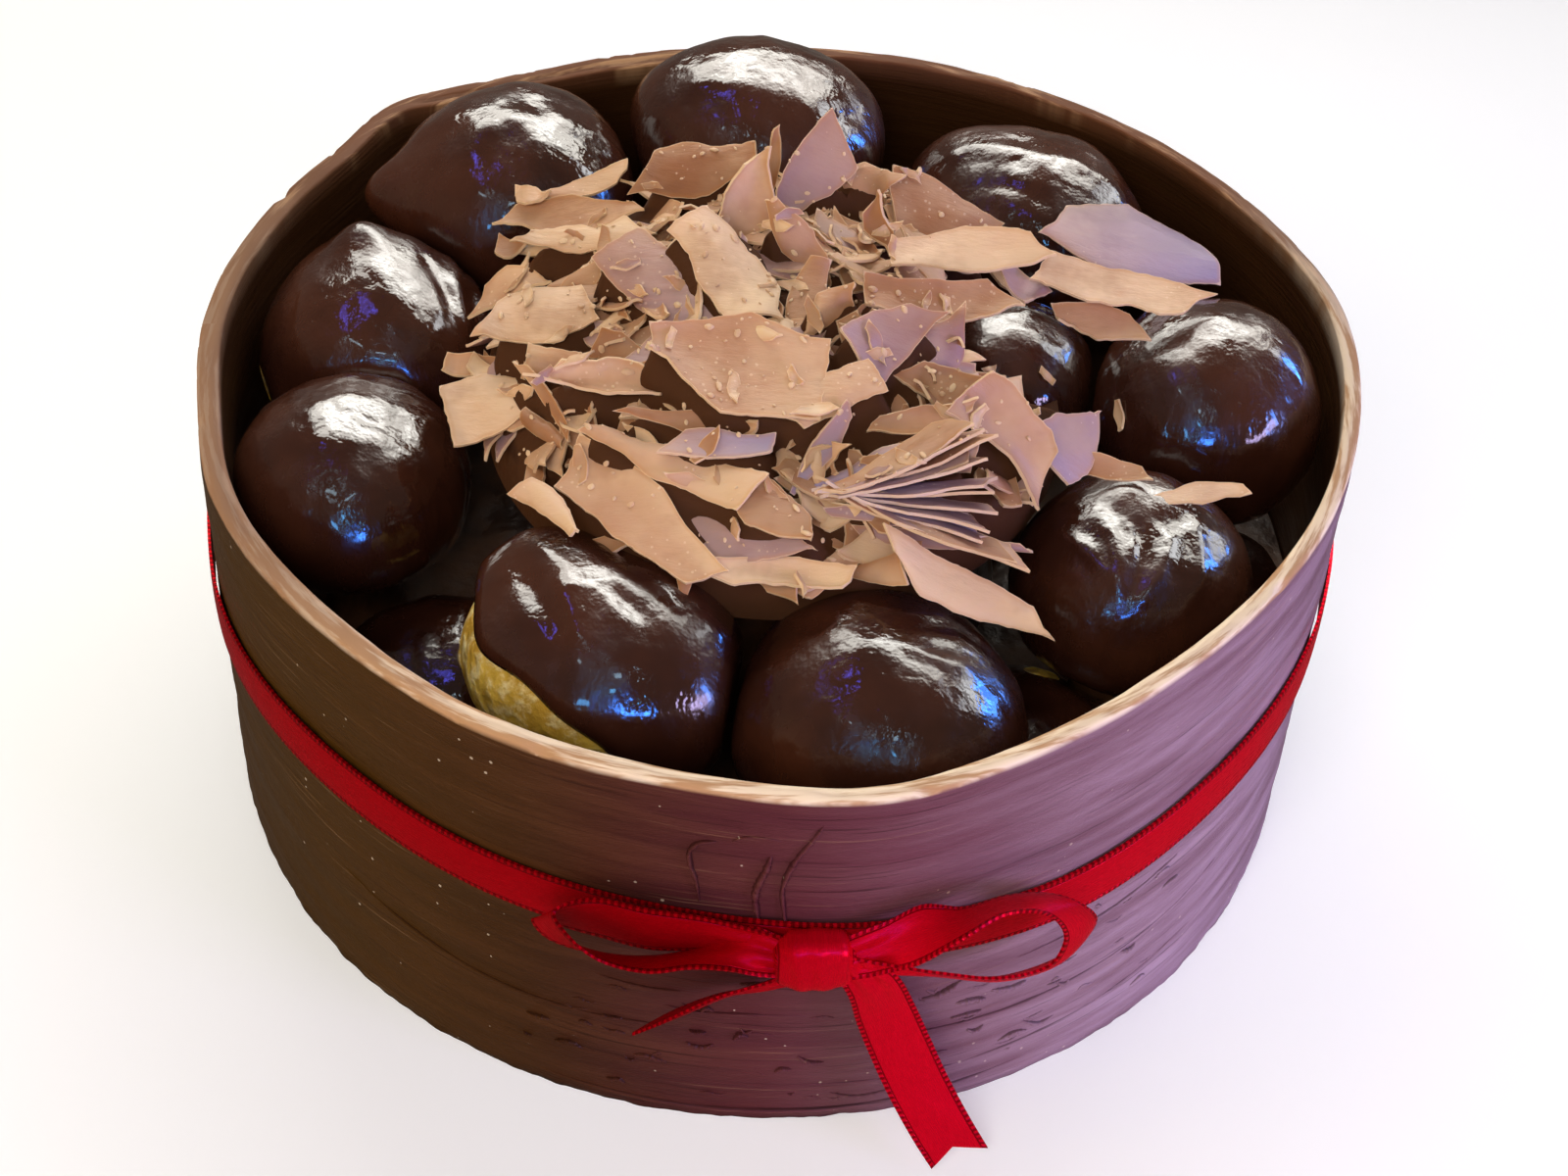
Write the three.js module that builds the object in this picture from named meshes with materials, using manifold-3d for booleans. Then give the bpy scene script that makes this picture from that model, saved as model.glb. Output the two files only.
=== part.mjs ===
// A round profiterole cake, in millimetres, +Z up.
//
// A collar of dark chocolate stands round a pile of chocolate-glazed choux buns. Ten buns show on
// top, three more show deep in the gaps, and a heap of milk chocolate shavings lies in the middle.
// A satin ribbon runs round the collar and is tied in a bow at the front.
//
// The origin is the centre of the flat underside. The bow faces -Y.

import * as THREE from 'three';
import { mergeVertices } from 'three/addons/utils/BufferGeometryUtils.js';
import Module from 'manifold-3d';

const wasm = await Module();
wasm.setup();

// ---------------------------------------------------------------- driving sizes

const CAKE_RADIUS = 100; // outer radius of the collar where it stands
const COLLAR_HEIGHT = 83.6;
const COLLAR_STEPS = 64; // segments round the collar
const COLLAR_KNEE = 42; // height where the collar starts to lean in and out
const LIP_ROUND = 0.8; // softened edges of the cut lip
const WALL = { front: 3.1, left: 3.9, right: 2.9 };
const LAP = { from: 104, to: 133, ramp: 5, extra: 1.6 }; // where the strip's ends overlap, at the back

// The collar was bent by hand, so its rim swings out and in. Angles run from +X towards +Y, and
// `push` is how far the rim stands off its circle.
const RIM_PUSHES = [
  { at: 137, spread: 8, push: 4.5 },
  { at: 150, spread: 30, push: 0.7 },
  { at: 98, spread: 30, push: -2.4 },
  { at: 15, spread: 18, push: 3.2 },
  { at: 45, spread: 14, push: 1.0 },
  { at: -42, spread: 24, push: -3.4 },
  { at: -80, spread: 12, push: 2.9 },
  { at: -132, spread: 16, push: -1.7 },
  { at: -168, spread: 10, push: -1.3 },
];
const RIM_LEAN_POWER = 1.5; // the pushes fade towards the base with this power of the height

const GAP = 0.35; // air left between pieces that touch
const SAME_PLACE = 1e-5; // corners of a three.js geometry this near each other are one corner
const SAME_LEVEL = 1e-6;
const SHORTEST_EDGE = 0.01; // edges shorter than this are closed up where pieces join

const FILLING_TOP = 34; // level of the hidden pile where nothing stands on it
const CENTRE_TOP = 75.5; // level of the pile under the shavings
const CENTRE_RADIUS = 38;
const CENTRE_SKIRT = 5;
const CENTRE_SIDES = 20;
const SEAT_RADIUS = 6; // the pile rises to a small round seat under every bun
const SEAT_SKIRT = 3;
const SEAT_SIDES = 8;

// ---------------------------------------------------------------- choux buns

// along and across are half-widths, up is the half-height, heading turns `along` from +X.
const TOP_BUNS = [
  { x: 18.9, y: -67.9, z: 65, along: 24.2, across: 22, up: 19.2, heading: 0 },
  { x: -26, y: -61.8, z: 68.6, along: 25.2, across: 21.5, up: 18.8, heading: -20 },
  { x: -71.5, y: -21, z: 67, along: 21.8, across: 20.5, up: 17.2, heading: 90 },
  { x: -72.5, y: 16.3, z: 65, along: 22.5, across: 21.5, up: 19.5, heading: 90 },
  { x: -51.6, y: 51, z: 77, along: 23.4, across: 22.5, up: 18.6, heading: 45 },
  { x: -6, y: 70.7, z: 80, along: 24.6, across: 21.5, up: 17.8, heading: 0 },
  { x: 46, y: 57, z: 70, along: 26, across: 21, up: 19, heading: -42 },
  { x: 76.3, y: 4.2, z: 71, along: 20.6, across: 21, up: 19.8, heading: 90 },
  { x: 61, y: -34, z: 65, along: 20.6, across: 20, up: 17.5, heading: 60 },
  { x: 41, y: 12, z: 68, along: 17, across: 17, up: 17, heading: 0 },
];
const LOW_BUNS = [
  { x: -55, y: -46, z: 42, along: 20, across: 20, up: 14, heading: 0 },
  { x: 46, y: -54, z: 40, along: 20, across: 20, up: 14, heading: 30 },
  { x: 74, y: -14, z: 42, along: 20, across: 20, up: 13, heading: 80 },
];
const BUN_RINGS = 11;
const BUN_SIDES = 18;
const LOW_BUN_RINGS = 6;
const LOW_BUN_SIDES = 14;
const BUN_FLAT = 2.4; // how much of a bun's underside is pressed flat
const NEIGHBOUR_GAP = 6; // buns whose ovals are further apart than this don't touch
const CONTACT_SOFTNESS = 0.9; // how sharply a bun flattens against its neighbour, per mm
const CUTTER = { sides: 16, rings: 9, grow: 1.3 }; // a swollen bun, to cut what lies round it
const BURIED_BUN = 10; // it lies so near the middle that the pile is cut round it

// Bumps that show on single buns: bearing and height of the bump seen from the bun's centre, in
// degrees, its spread in degrees and how far it stands out.
const NAMED_LUMPS = {
  1: [{ bearing: 120, height: 62, spread: 30, out: 1.2 }, { bearing: -60, height: 20, spread: 34, out: 0.8 }],
  2: [{ bearing: 130, height: 42, spread: 26, out: 2.4 }, { bearing: -30, height: -8, spread: 34, out: 1.6 }],
  3: [{ bearing: 190, height: 30, spread: 40, out: 1.0 }, { bearing: 20, height: 55, spread: 30, out: -1.0 }],
  4: [{ bearing: 112, height: 66, spread: 12, out: 2.6 }, { bearing: 100, height: 50, spread: 34, out: 1.8 }],
  5: [{ bearing: -162, height: 10, spread: 15, out: 5.2 }, { bearing: 60, height: 40, spread: 36, out: 1.6 }],
  6: [{ bearing: 175, height: 30, spread: 30, out: 1.8 }, { bearing: -20, height: 28, spread: 30, out: -1.4 }],
  7: [{ bearing: 150, height: 40, spread: 26, out: 1.8 }, { bearing: 40, height: 48, spread: 22, out: 1.6 }],
  8: [{ bearing: 40, height: 50, spread: 34, out: 1.0 }, { bearing: -60, height: 30, spread: 30, out: -0.8 }],
  9: [{ bearing: 80, height: 60, spread: 24, out: 1.8 }, { bearing: 0, height: 30, spread: 26, out: 1.2 }],
};
const SMALL_LUMPS = 5; // further uneven places on every bun, drawn from the seed
const SMALL_LUMP = { out: 1.1, spread: 24, spreadMore: 22, lowest: -35, highest: 75 };
const LUMP_SEED = 31;

// The glaze of the second bun has slipped, and its lower left side is bare.
const BARE_BUN = 2;
const GLAZE_THICKNESS = 2.2;
const GLAZE_TOWARDS = [0.66, 0.2, 0.73]; // middle of the glazed cap
const GLAZE_REACH = 104; // degrees from the middle of the cap to its edge
const GLAZE_EDGE_WAVES = [
  { count: 1, size: 7, turn: 10 }, { count: 3, size: 5, turn: 195 }, { count: 7, size: 1.8, turn: 110 },
];
const GLAZE_EDGE = { thinned: 0.6, outerPower: 8, innerPower: 12 }; // how the glaze thins to its edge
const GLAZE_RINGS = 6;
const GLAZE_SIDES = 18;

// ---------------------------------------------------------------- shavings

const HEAP = { x: 0, y: -6, radiusX: 54, radiusY: 56, edgeTop: 84, rise: 20, power: 0.9, fall: 18 };
const HEAP_CORE = { sink: 3, reach: 0.92, rings: 7, sides: 26, bump: 1.4, bottom: CENTRE_TOP + GAP };
const UNDER_FLAKE = { inside: 0.5, margin: 0.6, most: 11 }; // the core rises to carry the shavings on it
const HEAP_SEED = 7;
const FLAKE_THICKNESS = 0.9;
const FLAKE_STEPS = 3; // pieces along a flake
const MIN_FLAKE_WIDTH = 1.2;
const FLAKE_WAVE = 0.35; // a slight wave along every flake
const FLAKE_WAVE_TURNS = 7;
const FLAKE_TOUCH = 0.05; // cubic mm of a bun's clearance that a flake may cut

// One row for each shaving that shows. x, y, z is its middle. Its face leans `lean` degrees from
// level towards the bearing `facing`, and its length runs along the bearing `turn`. Then come its
// length, its width at the start, the middle and the end, how far its middle bows sideways, and
// how far it curls across its width.
const FLAKE_COLUMNS = ['x', 'y', 'z', 'lean', 'facing', 'turn', 'length', 'start', 'middle', 'end', 'bow', 'curl'];
const FLAKES = [
  [-15, 30, 101, 35, -95, 17, 21, 7, 10, 6, 0, 2],
  [-37.6, 34, 92.6, 20, -120, 17, 17, 1.5, 5, 4, -0.5, 0.5],
  [-46, 31, 91.6, 15, -150, 156, 7, 2, 5, 4, 0.5, 0.5],
  [-38, 27, 91, 25, -130, -180, 25, 4, 7, 5, 0, 1],
  [-35, 12, 98, 20, -110, 6, 22, 1, 7, 5, -1, 1],
  [-48.6, 25.4, 85.2, 20, -150, 158, 7, 3, 5, 4, 1, 0.5],
  [-40, -11, 98.3, 15, -100, 17, 19, 6, 12, 8, 0, 1.2],
  [-47, 6, 89, 30, -160, 6, 14, 5, 9, 3, 2, 1],
  [-52, -11, 86, 20, -140, -5, 9, 4, 6, 4, 0, 0.5],
  [-33, -20, 96, 45, -80, 174, 17, 1.5, 5, 4, 1, 1],
  [-26, -20, 99, 50, -90, 162, 9, 3, 6, 5, 0, 1],
  [-46, -24, 90, 15, -130, 20, 18, 14, 12, 4, 0.5, 0.6],
  [-27, -29, 99, 30, -90, 177, 22, 4, 7, 2, -0.5, 2.5],
  [-13, -37, 99, 30, -80, 173, 21, 2, 5, 2, 0, 0.6],
  [-37, -29, 95, 60, -130, 106, 16, 1.5, 3, 1.5, -0.5, 0.5],
  [-7.5, -42, 99, 15, -90, 179, 16, 4, 5, 4.5, 0.5, 0.3],
  [-16, -44, 97, 25, -100, 155, 30, 6, 8, 3, 0.5, 1],
  [-1, -50, 95, 20, -80, 150, 20, 4, 10, 3, 0.5, 0.8],
  [-20, -51.7, 91.7, 25, -110, 137, 32, 6, 13, 10, 0, 1.5],
  [-7, -51, 92, 25, -100, 158, 31, 4, 10, 5, 2, 1],
  [2, -60, 88, 20, -90, 176, 23, 5, 8, 3, -1, 0.8],
  [-34.5, -50.3, 91, 35, -120, 134, 13, 3, 5, 5, -1, 1.5],
  [-37, -33, 92, 55, -120, 132, 10, 3, 4, 2, 0, 1.5],
  [-6, -28, 105, 20, -85, 167, 30, 14, 20, 5, 1, 1.5],
  [-9.5, -7, 107, 18, -70, 124, 23, 9, 13, 9, -1, 1],
  [-19.5, -8, 104, 25, -110, 132, 24, 6, 13, 9, 1, 1],
  [19, -21, 105, 35, -60, 49, 17, 12, 10, 4, 1, 1.5],
  [10, -34, 103, 25, -90, 38, 17, 2, 7, 9, 0.5, 1],
  [8, -41, 98, 55, -70, 81, 17, 2, 4, 2.5, 0, 0.8],
  [24, -33, 100, 40, -90, 19, 17, 2, 4, 1.5, -1, 0.6],
  [19, -43, 96, 45, -90, 21, 28, 3, 6, 6.5, 0.5, 2.5],
  [21, -49, 91, 40, -80, 176, 24, 4, 4, 1.5, -0.5, 0.6],
  [28, -50, 88, 45, -80, 176, 27, 1.5, 3, 2.5, 0, 0.5],
  [37, -33, 95, 45, -50, 144, 22, 7, 11, 12, -2.5, 2.5],
  [49, -23, 89, 40, -30, 49, 19, 12, 11, 2, -2, 1],
  [17, -57, 88, 50, -140, -179, 11, 7, 4, 1.5, 0.5, 1.2],
  [32, -59, 86, 40, -60, 158, 28, 5, 7, 5, 1, 1.8],
  [26, -25, 99, 40, -80, 155, 12, 7, 6, 4, 0, 1],
  [27, -16, 101, 45, -60, 65, 11, 4, 9, 4, -1.5, 1],
  [-6, 14, 106, 60, -80, 94, 14, 10, 10, 3, 0.5, 2.5],
  [-3, 27, 105, 70, -90, -92, 11, 1, 2.5, 2.5, 0.5, 0.5],
  [4, 23.5, 105, 55, -75, 68, 18, 5, 10, 10, 0, 2.5],
  [13, 27, 102, 60, -100, -13, 10, 3, 8, 6, 0, 2],
  [17, 11, 105, 60, -110, 91, 8, 3, 5, 3, 1.5, 1],
  [29.5, 26.5, 96, 35, -60, -6, 21, 13, 9, 4, 0.5, 1],
  [32, 6, 103, 12, -90, 9, 27, 7, 11, 4, 0, 1],
  [26, -5, 103, 30, -70, -175, 26, 6, 8, 5, 1.5, 1.2],
  [40, 8, 96, 35, -20, 154, 9, 7, 6, 2, 0, 0.6],
  [9, -16, 106, 50, -80, -120, 11, 5, 7, 4, -1.5, 1.5],
  [3, 2, 107, 60, -90, 113, 16, 3, 7, 3, 1.5, 1.5],
];

// Three large shavings lie apart from the heap, on the buns at its right.
const LOOSE_FLAKES = [
  [62, 26.5, 92, 22, -35, 180, 32, 8, 19, 8, 0, 2],
  [58.5, 9.8, 95, 14, -75, 172, 28, 5, 10, 8, 0.5, 1],
  [55, 4.6, 90.8, 30, -80, 177, 16, 4, 8, 3, 0.5, 0.6],
];

// ---------------------------------------------------------------- ribbon

const RIBBON_WIDTH = 10;
const RIBBON_THICKNESS = 0.6;
const BAND_HEIGHT = 50; // middle of the band
const BAND_DRIFTS = [
  { at: -135, spread: 40, push: 2 },
  { at: -60, spread: 16, push: -3.6 },
  { at: -35, spread: 22, push: -1.2 },
];

// A ribbon is a row of places along one of its edges, with the direction across to the other edge.
const LEFT_LOOP = [
  { edge: [6, -103.2, 54], across: [0, 0.15, -1], width: 6 },
  { edge: [-6, -103.2, 57.5], across: [0, 0.05, -1], width: 9 },
  { edge: [-14.4, -103, 58.5], across: [0, 0, -1], width: 10 },
  { edge: [-23.5, -101.6, 58.5], across: [-0.05, 0.1, -1], width: 10 },
  { edge: [-28.8, -103.4, 57], across: [-0.42, 0.45, -0.78], width: 10 },
  { edge: [-26.6, -106.8, 56.3], across: [-0.42, 0.5, -0.76], width: 10 },
  { edge: [-21.7, -109.9, 54.6], across: [-0.15, 0.66, -0.74], width: 10 },
  { edge: [-14.2, -111.1, 53.5], across: [0, 0.78, -0.63], width: 10 },
  { edge: [-7.8, -109.9, 53.2], across: [0.03, 0.84, -0.54], width: 9.5 },
  { edge: [-2.6, -108.8, 51.5], across: [0, 1, -0.1], width: 8.5 },
  { edge: [1.6, -107.6, 49.3], across: [0, 0.7, 0.7], width: 7.5 },
  { edge: [7, -106.2, 47.6], across: [0, 0.3, 0.95], width: 6.5 },
];
const RIGHT_LOOP = [
  { edge: [14.5, -106, 47.4], across: [0.05, 0.3, 0.95], width: 7 },
  { edge: [20.5, -105.6, 48.6], across: [0.02, 0.4, 0.92], width: 8.6 },
  { edge: [26.3, -107.4, 53.4], across: [0.05, 0.9, 0.44], width: 9.6 },
  { edge: [32.6, -107.4, 60.2], across: [0.08, 0.93, -0.36], width: 10 },
  { edge: [38.6, -104.6, 63.2], across: [0.12, 0.82, -0.56], width: 10 },
  { edge: [43.8, -102.2, 61.6], across: [0.3, 0.78, -0.55], width: 10 },
  { edge: [47.8, -100.4, 57], across: [0.46, 0.74, -0.48], width: 10 },
  { edge: [49.4, -99.8, 51.6], across: [0.55, 0.74, -0.36], width: 10 },
  { edge: [47.6, -101.2, 47.6], across: [0.42, 0.72, -0.55], width: 10 },
  { edge: [40, -105, 48.8], across: [0.12, 0.6, -0.79], width: 10 },
  { edge: [31, -106.8, 51.6], across: [0.05, 0.55, -0.83], width: 9.6 },
  { edge: [22.5, -106.2, 52.4], across: [0.03, 0.42, -0.9], width: 8 },
  { edge: [15, -104.8, 52.4], across: [0, 0.3, -0.95], width: 6.5 },
];
const LEFT_TAIL = [
  { edge: [8.5, -105.4, 49], across: [0.1, 0.3, -0.95], width: 6.5 },
  { edge: [3, -106.4, 46.2], across: [0.15, 0.5, -0.86], width: 8.5 },
  { edge: [-3.6, -107.6, 43], across: [0.12, 0.68, -0.72], width: 9 },
  { edge: [-10.4, -107.8, 38], across: [0.1, 0.7, -0.7], width: 7.5 },
  { edge: [-16.9, -107, 31.8], across: [0.1, 0.7, -0.7], width: 1.2 },
];
const RIGHT_TAIL = [
  { edge: [13.6, -105.6, 49.5], across: [0.9, 0.1, 0.42], width: 6.5 },
  { edge: [16.4, -105.2, 43], across: [0.94, 0.14, 0.3], width: 8.4 },
  { edge: [18.2, -104.6, 35], across: [0.94, 0.2, 0.27], width: 9.6 },
  { edge: [21, -104.8, 26], across: [0.93, 0.24, 0.29], width: 10 },
  { edge: [24.6, -106, 17], across: [0.92, 0.28, 0.3], width: 10 },
  { edge: [28.8, -107.8, 8.6], across: [0.92, 0.3, 0.26], width: 10 },
  { edge: [32.6, -108.9, 1.4], across: [0.93, 0.32, 0.22], width: 10 },
];
const LEFT_FOLD = 5; // the place where each loop turns back
const RIGHT_FOLD = 8;
const NOTCH_DEPTH = 3.2; // swallow-tail cut in the end of the right tail
const NOTCH_INSET = 1;
const STRIP_SUBSTEPS = 2;
const BAND_OFF_WALL = 0.5;
const BOW_OFF_WALL = 0.9;
const KNOT = { x: 11, y: -104.6, z: 50.2, halfWidth: 6.3, halfHeight: 5.5, halfDepth: 3.4, roundness: 3 };
const KNOT_RINGS = 8;
const KNOT_SIDES = 14;

// ---------------------------------------------------------------- finishes

const finishes = {
  darkWall: new THREE.MeshStandardMaterial({ color: 0x3a211b, roughness: 0.42, metalness: 0 }),
  glaze: new THREE.MeshStandardMaterial({ color: 0x1f0f0b, roughness: 0.12, metalness: 0 }),
  choux: new THREE.MeshStandardMaterial({ color: 0xb98a3e, roughness: 0.75, metalness: 0 }),
  pile: new THREE.MeshStandardMaterial({ color: 0x24120c, roughness: 0.5, metalness: 0 }),
  shaving: new THREE.MeshStandardMaterial({ color: 0xb07a58, roughness: 0.55, metalness: 0 }),
  ribbon: new THREE.MeshStandardMaterial({ color: 0xc00818, roughness: 0.35, metalness: 0 }),
};

// ---------------------------------------------------------------- numbers

const degrees = (angle) => (angle * Math.PI) / 180;
const clamp = (value, low, high) => Math.min(high, Math.max(low, value));
const mix = (from, to, share) => from + (to - from) * share;
const turnBetween = (a, b) => ((((a - b) % 360) + 540) % 360) - 180;
const bearingOf = (point) => (Math.atan2(point.y, point.x) * 180) / Math.PI;

function smoothStep(from, to, value) {
  const share = clamp((value - from) / (to - from), 0, 1);
  return share * share * (3 - 2 * share);
}

// The smaller of two values, with a rounded change from one to the other.
function softMin(a, b, sharpness) {
  const low = Math.min(a, b);
  return low - Math.log1p(Math.exp(-sharpness * Math.abs(a - b))) / sharpness;
}

const softMax = (a, b, sharpness) => -softMin(-a, -b, sharpness);

// The same draws on every run.
const RANDOM = { factor: 1664525, step: 1013904223, states: 2 ** 32 };

function randomSource(seed) {
  let state = seed;
  return () => {
    state = (state * RANDOM.factor + RANDOM.step) % RANDOM.states;
    return state / RANDOM.states;
  };
}

const sumOfBells = (bearing, bells) =>
  bells.reduce((sum, bell) => sum + bell.push * Math.exp(-((turnBetween(bearing, bell.at) / bell.spread) ** 2)), 0);

function directionFrom(bearing, height) {
  const level = Math.cos(degrees(height));
  return new THREE.Vector3(
    Math.cos(degrees(bearing)) * level,
    Math.sin(degrees(bearing)) * level,
    Math.sin(degrees(height)),
  );
}

// ---------------------------------------------------------------- meshes and solids

// Moves every corner of a three.js geometry with one function, and closes its seams.
function reshape(geometry, place) {
  geometry.deleteAttribute('normal');
  geometry.deleteAttribute('uv');
  const closed = mergeVertices(geometry, SAME_PLACE);
  const corners = closed.attributes.position;
  for (let i = 0; i < corners.count; i += 1) {
    const moved = place(new THREE.Vector3().fromBufferAttribute(corners, i));
    corners.setXYZ(i, moved.x, moved.y, moved.z);
  }
  return closed;
}

// A closed body through rings of corners that all have the same number, with flat ends.
function loft(rings) {
  const around = rings[0].length;
  const corners = rings.flat().flatMap((point) => [point.x, point.y, point.z]);
  const faces = [];
  for (let i = 0; i + 1 < rings.length; i += 1) {
    for (let j = 0; j < around; j += 1) {
      const here = i * around + j;
      const next = i * around + ((j + 1) % around);
      faces.push(here, next, next + around, here, next + around, here + around);
    }
  }
  const last = (rings.length - 1) * around;
  for (let j = 1; j + 1 < around; j += 1) {
    faces.push(0, j + 1, j, last, last + j, last + j + 1);
  }
  const geometry = new THREE.BufferGeometry();
  geometry.setAttribute('position', new THREE.Float32BufferAttribute(corners, 3));
  geometry.setIndex(faces);
  return geometry;
}

// A leaf through rings of six corners, three on its face and three under it, so that both faces
// are split along the same diagonals.
function leafLoft(rings) {
  const corners = rings.flat().flatMap((point) => [point.x, point.y, point.z]);
  const faces = [];
  const quad = (a, b, c, d) => faces.push(a, b, c, a, c, d);
  for (let i = 0; i + 1 < rings.length; i += 1) {
    const [here, next] = [i * 6, (i + 1) * 6];
    for (const j of [0, 1]) {
      quad(here + j, here + j + 1, next + j + 1, next + j);
      quad(here + 5 - j, next + 5 - j, next + 4 - j, here + 4 - j);
    }
    quad(here + 2, here + 3, next + 3, next + 2);
    quad(here + 5, here, next, next + 5);
  }
  const last = (rings.length - 1) * 6;
  for (const j of [0, 1]) {
    quad(j, 5 - j, 4 - j, j + 1);
    quad(last + j, last + j + 1, last + 4 - j, last + 5 - j);
  }
  const geometry = new THREE.BufferGeometry();
  geometry.setAttribute('position', new THREE.Float32BufferAttribute(corners, 3));
  geometry.setIndex(faces);
  return geometry;
}

function toSolid(geometry) {
  const corners = new Float32Array(geometry.attributes.position.array);
  const faces = new Uint32Array(geometry.index.array);
  const signedVolume = (order) => {
    let sum = 0;
    for (let i = 0; i < order.length; i += 3) {
      const [a, b, c] = [0, 1, 2].map((k) => new THREE.Vector3().fromArray(corners, order[i + k] * 3));
      sum += a.dot(b.cross(c));
    }
    return sum;
  };
  if (signedVolume(faces) < 0) {
    for (let i = 0; i < faces.length; i += 3) [faces[i + 1], faces[i + 2]] = [faces[i + 2], faces[i + 1]];
  }
  return new wasm.Manifold(new wasm.Mesh({
    numProp: 3, vertProperties: corners, triVerts: faces, tolerance: SHORTEST_EDGE,
  }));
}

function toGeometry(solid) {
  const mesh = solid.getMesh();
  const geometry = new THREE.BufferGeometry();
  geometry.setAttribute('position', new THREE.BufferAttribute(new Float32Array(mesh.vertProperties), 3));
  geometry.setIndex(new THREE.BufferAttribute(new Uint32Array(mesh.triVerts), 1));
  return geometry;
}

const joined = (solids) => solids.reduce((whole, solid) => whole.add(solid));
const largest = (solid) => solid.decompose().reduce((a, b) => (a.volume() > b.volume() ? a : b));
const overlap = (a, b) => a.intersect(b).volume();

function named(name, solid, material) {
  const geometry = toGeometry(solid);
  geometry.computeVertexNormals();
  const mesh = new THREE.Mesh(geometry, material);
  mesh.name = name;
  return mesh;
}

// ---------------------------------------------------------------- collar

// How far the collar leans at a height, from 0 at the base to 1 at the rim, in two straight runs.
function leanAt(height) {
  const kneeLean = (COLLAR_KNEE / COLLAR_HEIGHT) ** RIM_LEAN_POWER;
  if (height < COLLAR_KNEE) return (kneeLean * height) / COLLAR_KNEE;
  return mix(kneeLean, 1, (height - COLLAR_KNEE) / (COLLAR_HEIGHT - COLLAR_KNEE));
}

const wallOuter = (bearing, height) => CAKE_RADIUS + sumOfBells(bearing, RIM_PUSHES) * leanAt(height);

function wallThickness(bearing) {
  const side = Math.cos(degrees(bearing));
  const towards = side < 0 ? WALL.left : WALL.right;
  const rampUp = smoothStep(LAP.from - LAP.ramp, LAP.from, (bearing + 360) % 360);
  const rampDown = smoothStep(LAP.to, LAP.to + LAP.ramp, (bearing + 360) % 360);
  return mix(WALL.front, towards, Math.abs(side)) + LAP.extra * (rampUp - rampDown);
}

const wallInner = (bearing, height) => wallOuter(bearing, height) - wallThickness(bearing);

function makeCollar() {
  const inside = CAKE_RADIUS - WALL.front;
  const profile = [
    [CAKE_RADIUS, 0], [CAKE_RADIUS, COLLAR_KNEE],
    [CAKE_RADIUS, COLLAR_HEIGHT - LIP_ROUND], [CAKE_RADIUS - LIP_ROUND, COLLAR_HEIGHT],
    [inside + LIP_ROUND, COLLAR_HEIGHT], [inside, COLLAR_HEIGHT - LIP_ROUND],
    [inside, COLLAR_KNEE], [inside, 0], [CAKE_RADIUS, 0],
  ].map(([radius, height]) => new THREE.Vector2(radius, height));
  const strip = new THREE.LatheGeometry(profile, COLLAR_STEPS).rotateX(Math.PI / 2);
  return toSolid(reshape(strip, (point) => {
    const bearing = bearingOf(point);
    const across = (Math.hypot(point.x, point.y) - inside) / WALL.front;
    const radius = mix(wallInner(bearing, point.z), wallOuter(bearing, point.z), across);
    return directionFrom(bearing, 0).multiplyScalar(radius).setZ(point.z);
  }));
}

// ---------------------------------------------------------------- buns

const centreOf = (bun) => new THREE.Vector3(bun.x, bun.y, bun.z);
const undersideOf = (bun) => bun.z - bun.up + BUN_FLAT;

// The plain oval of a bun, as its reach from the middle along a direction.
function ovalReach(bun, direction) {
  const turned = direction.clone().applyAxisAngle(new THREE.Vector3(0, 0, 1), -degrees(bun.heading));
  return 1 / Math.hypot(turned.x / bun.along, turned.y / bun.across, turned.z / bun.up);
}

function drawLumps(random, namedLumps) {
  const lumps = namedLumps.map((lump) => ({ ...lump }));
  for (let i = 0; i < SMALL_LUMPS; i += 1) {
    lumps.push({
      bearing: 360 * random(),
      height: mix(SMALL_LUMP.lowest, SMALL_LUMP.highest, random()),
      spread: SMALL_LUMP.spread + SMALL_LUMP.spreadMore * random(),
      out: SMALL_LUMP.out * (2 * random() - 1),
    });
  }
  return lumps.map((lump) => ({ ...lump, towards: directionFrom(lump.bearing, lump.height) }));
}

function lumpHeight(bun, direction) {
  return bun.lumps.reduce((sum, lump) => {
    const away = (direction.angleTo(lump.towards) * 180) / Math.PI;
    return sum + lump.out * Math.exp(-((away / lump.spread) ** 2));
  }, 0);
}

// Neighbouring buns meet in a plane. Each gets the plane's direction and its distance from the middle.
function pressTogether(buns) {
  for (const bun of buns) bun.presses = [];
  for (const [i, bun] of buns.entries()) {
    for (const other of buns.slice(i + 1)) {
      const towards = centreOf(other).sub(centreOf(bun));
      const distance = towards.length();
      towards.normalize();
      const reach = ovalReach(bun, towards);
      const otherReach = ovalReach(other, towards.clone().negate());
      if (reach + otherReach < distance - NEIGHBOUR_GAP) continue;
      const side = (distance + reach - otherReach) / 2;
      bun.presses.push({ towards, side: side - GAP / 2 });
      other.presses.push({ towards: towards.clone().negate(), side: distance - side - GAP / 2 });
    }
  }
}

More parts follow.
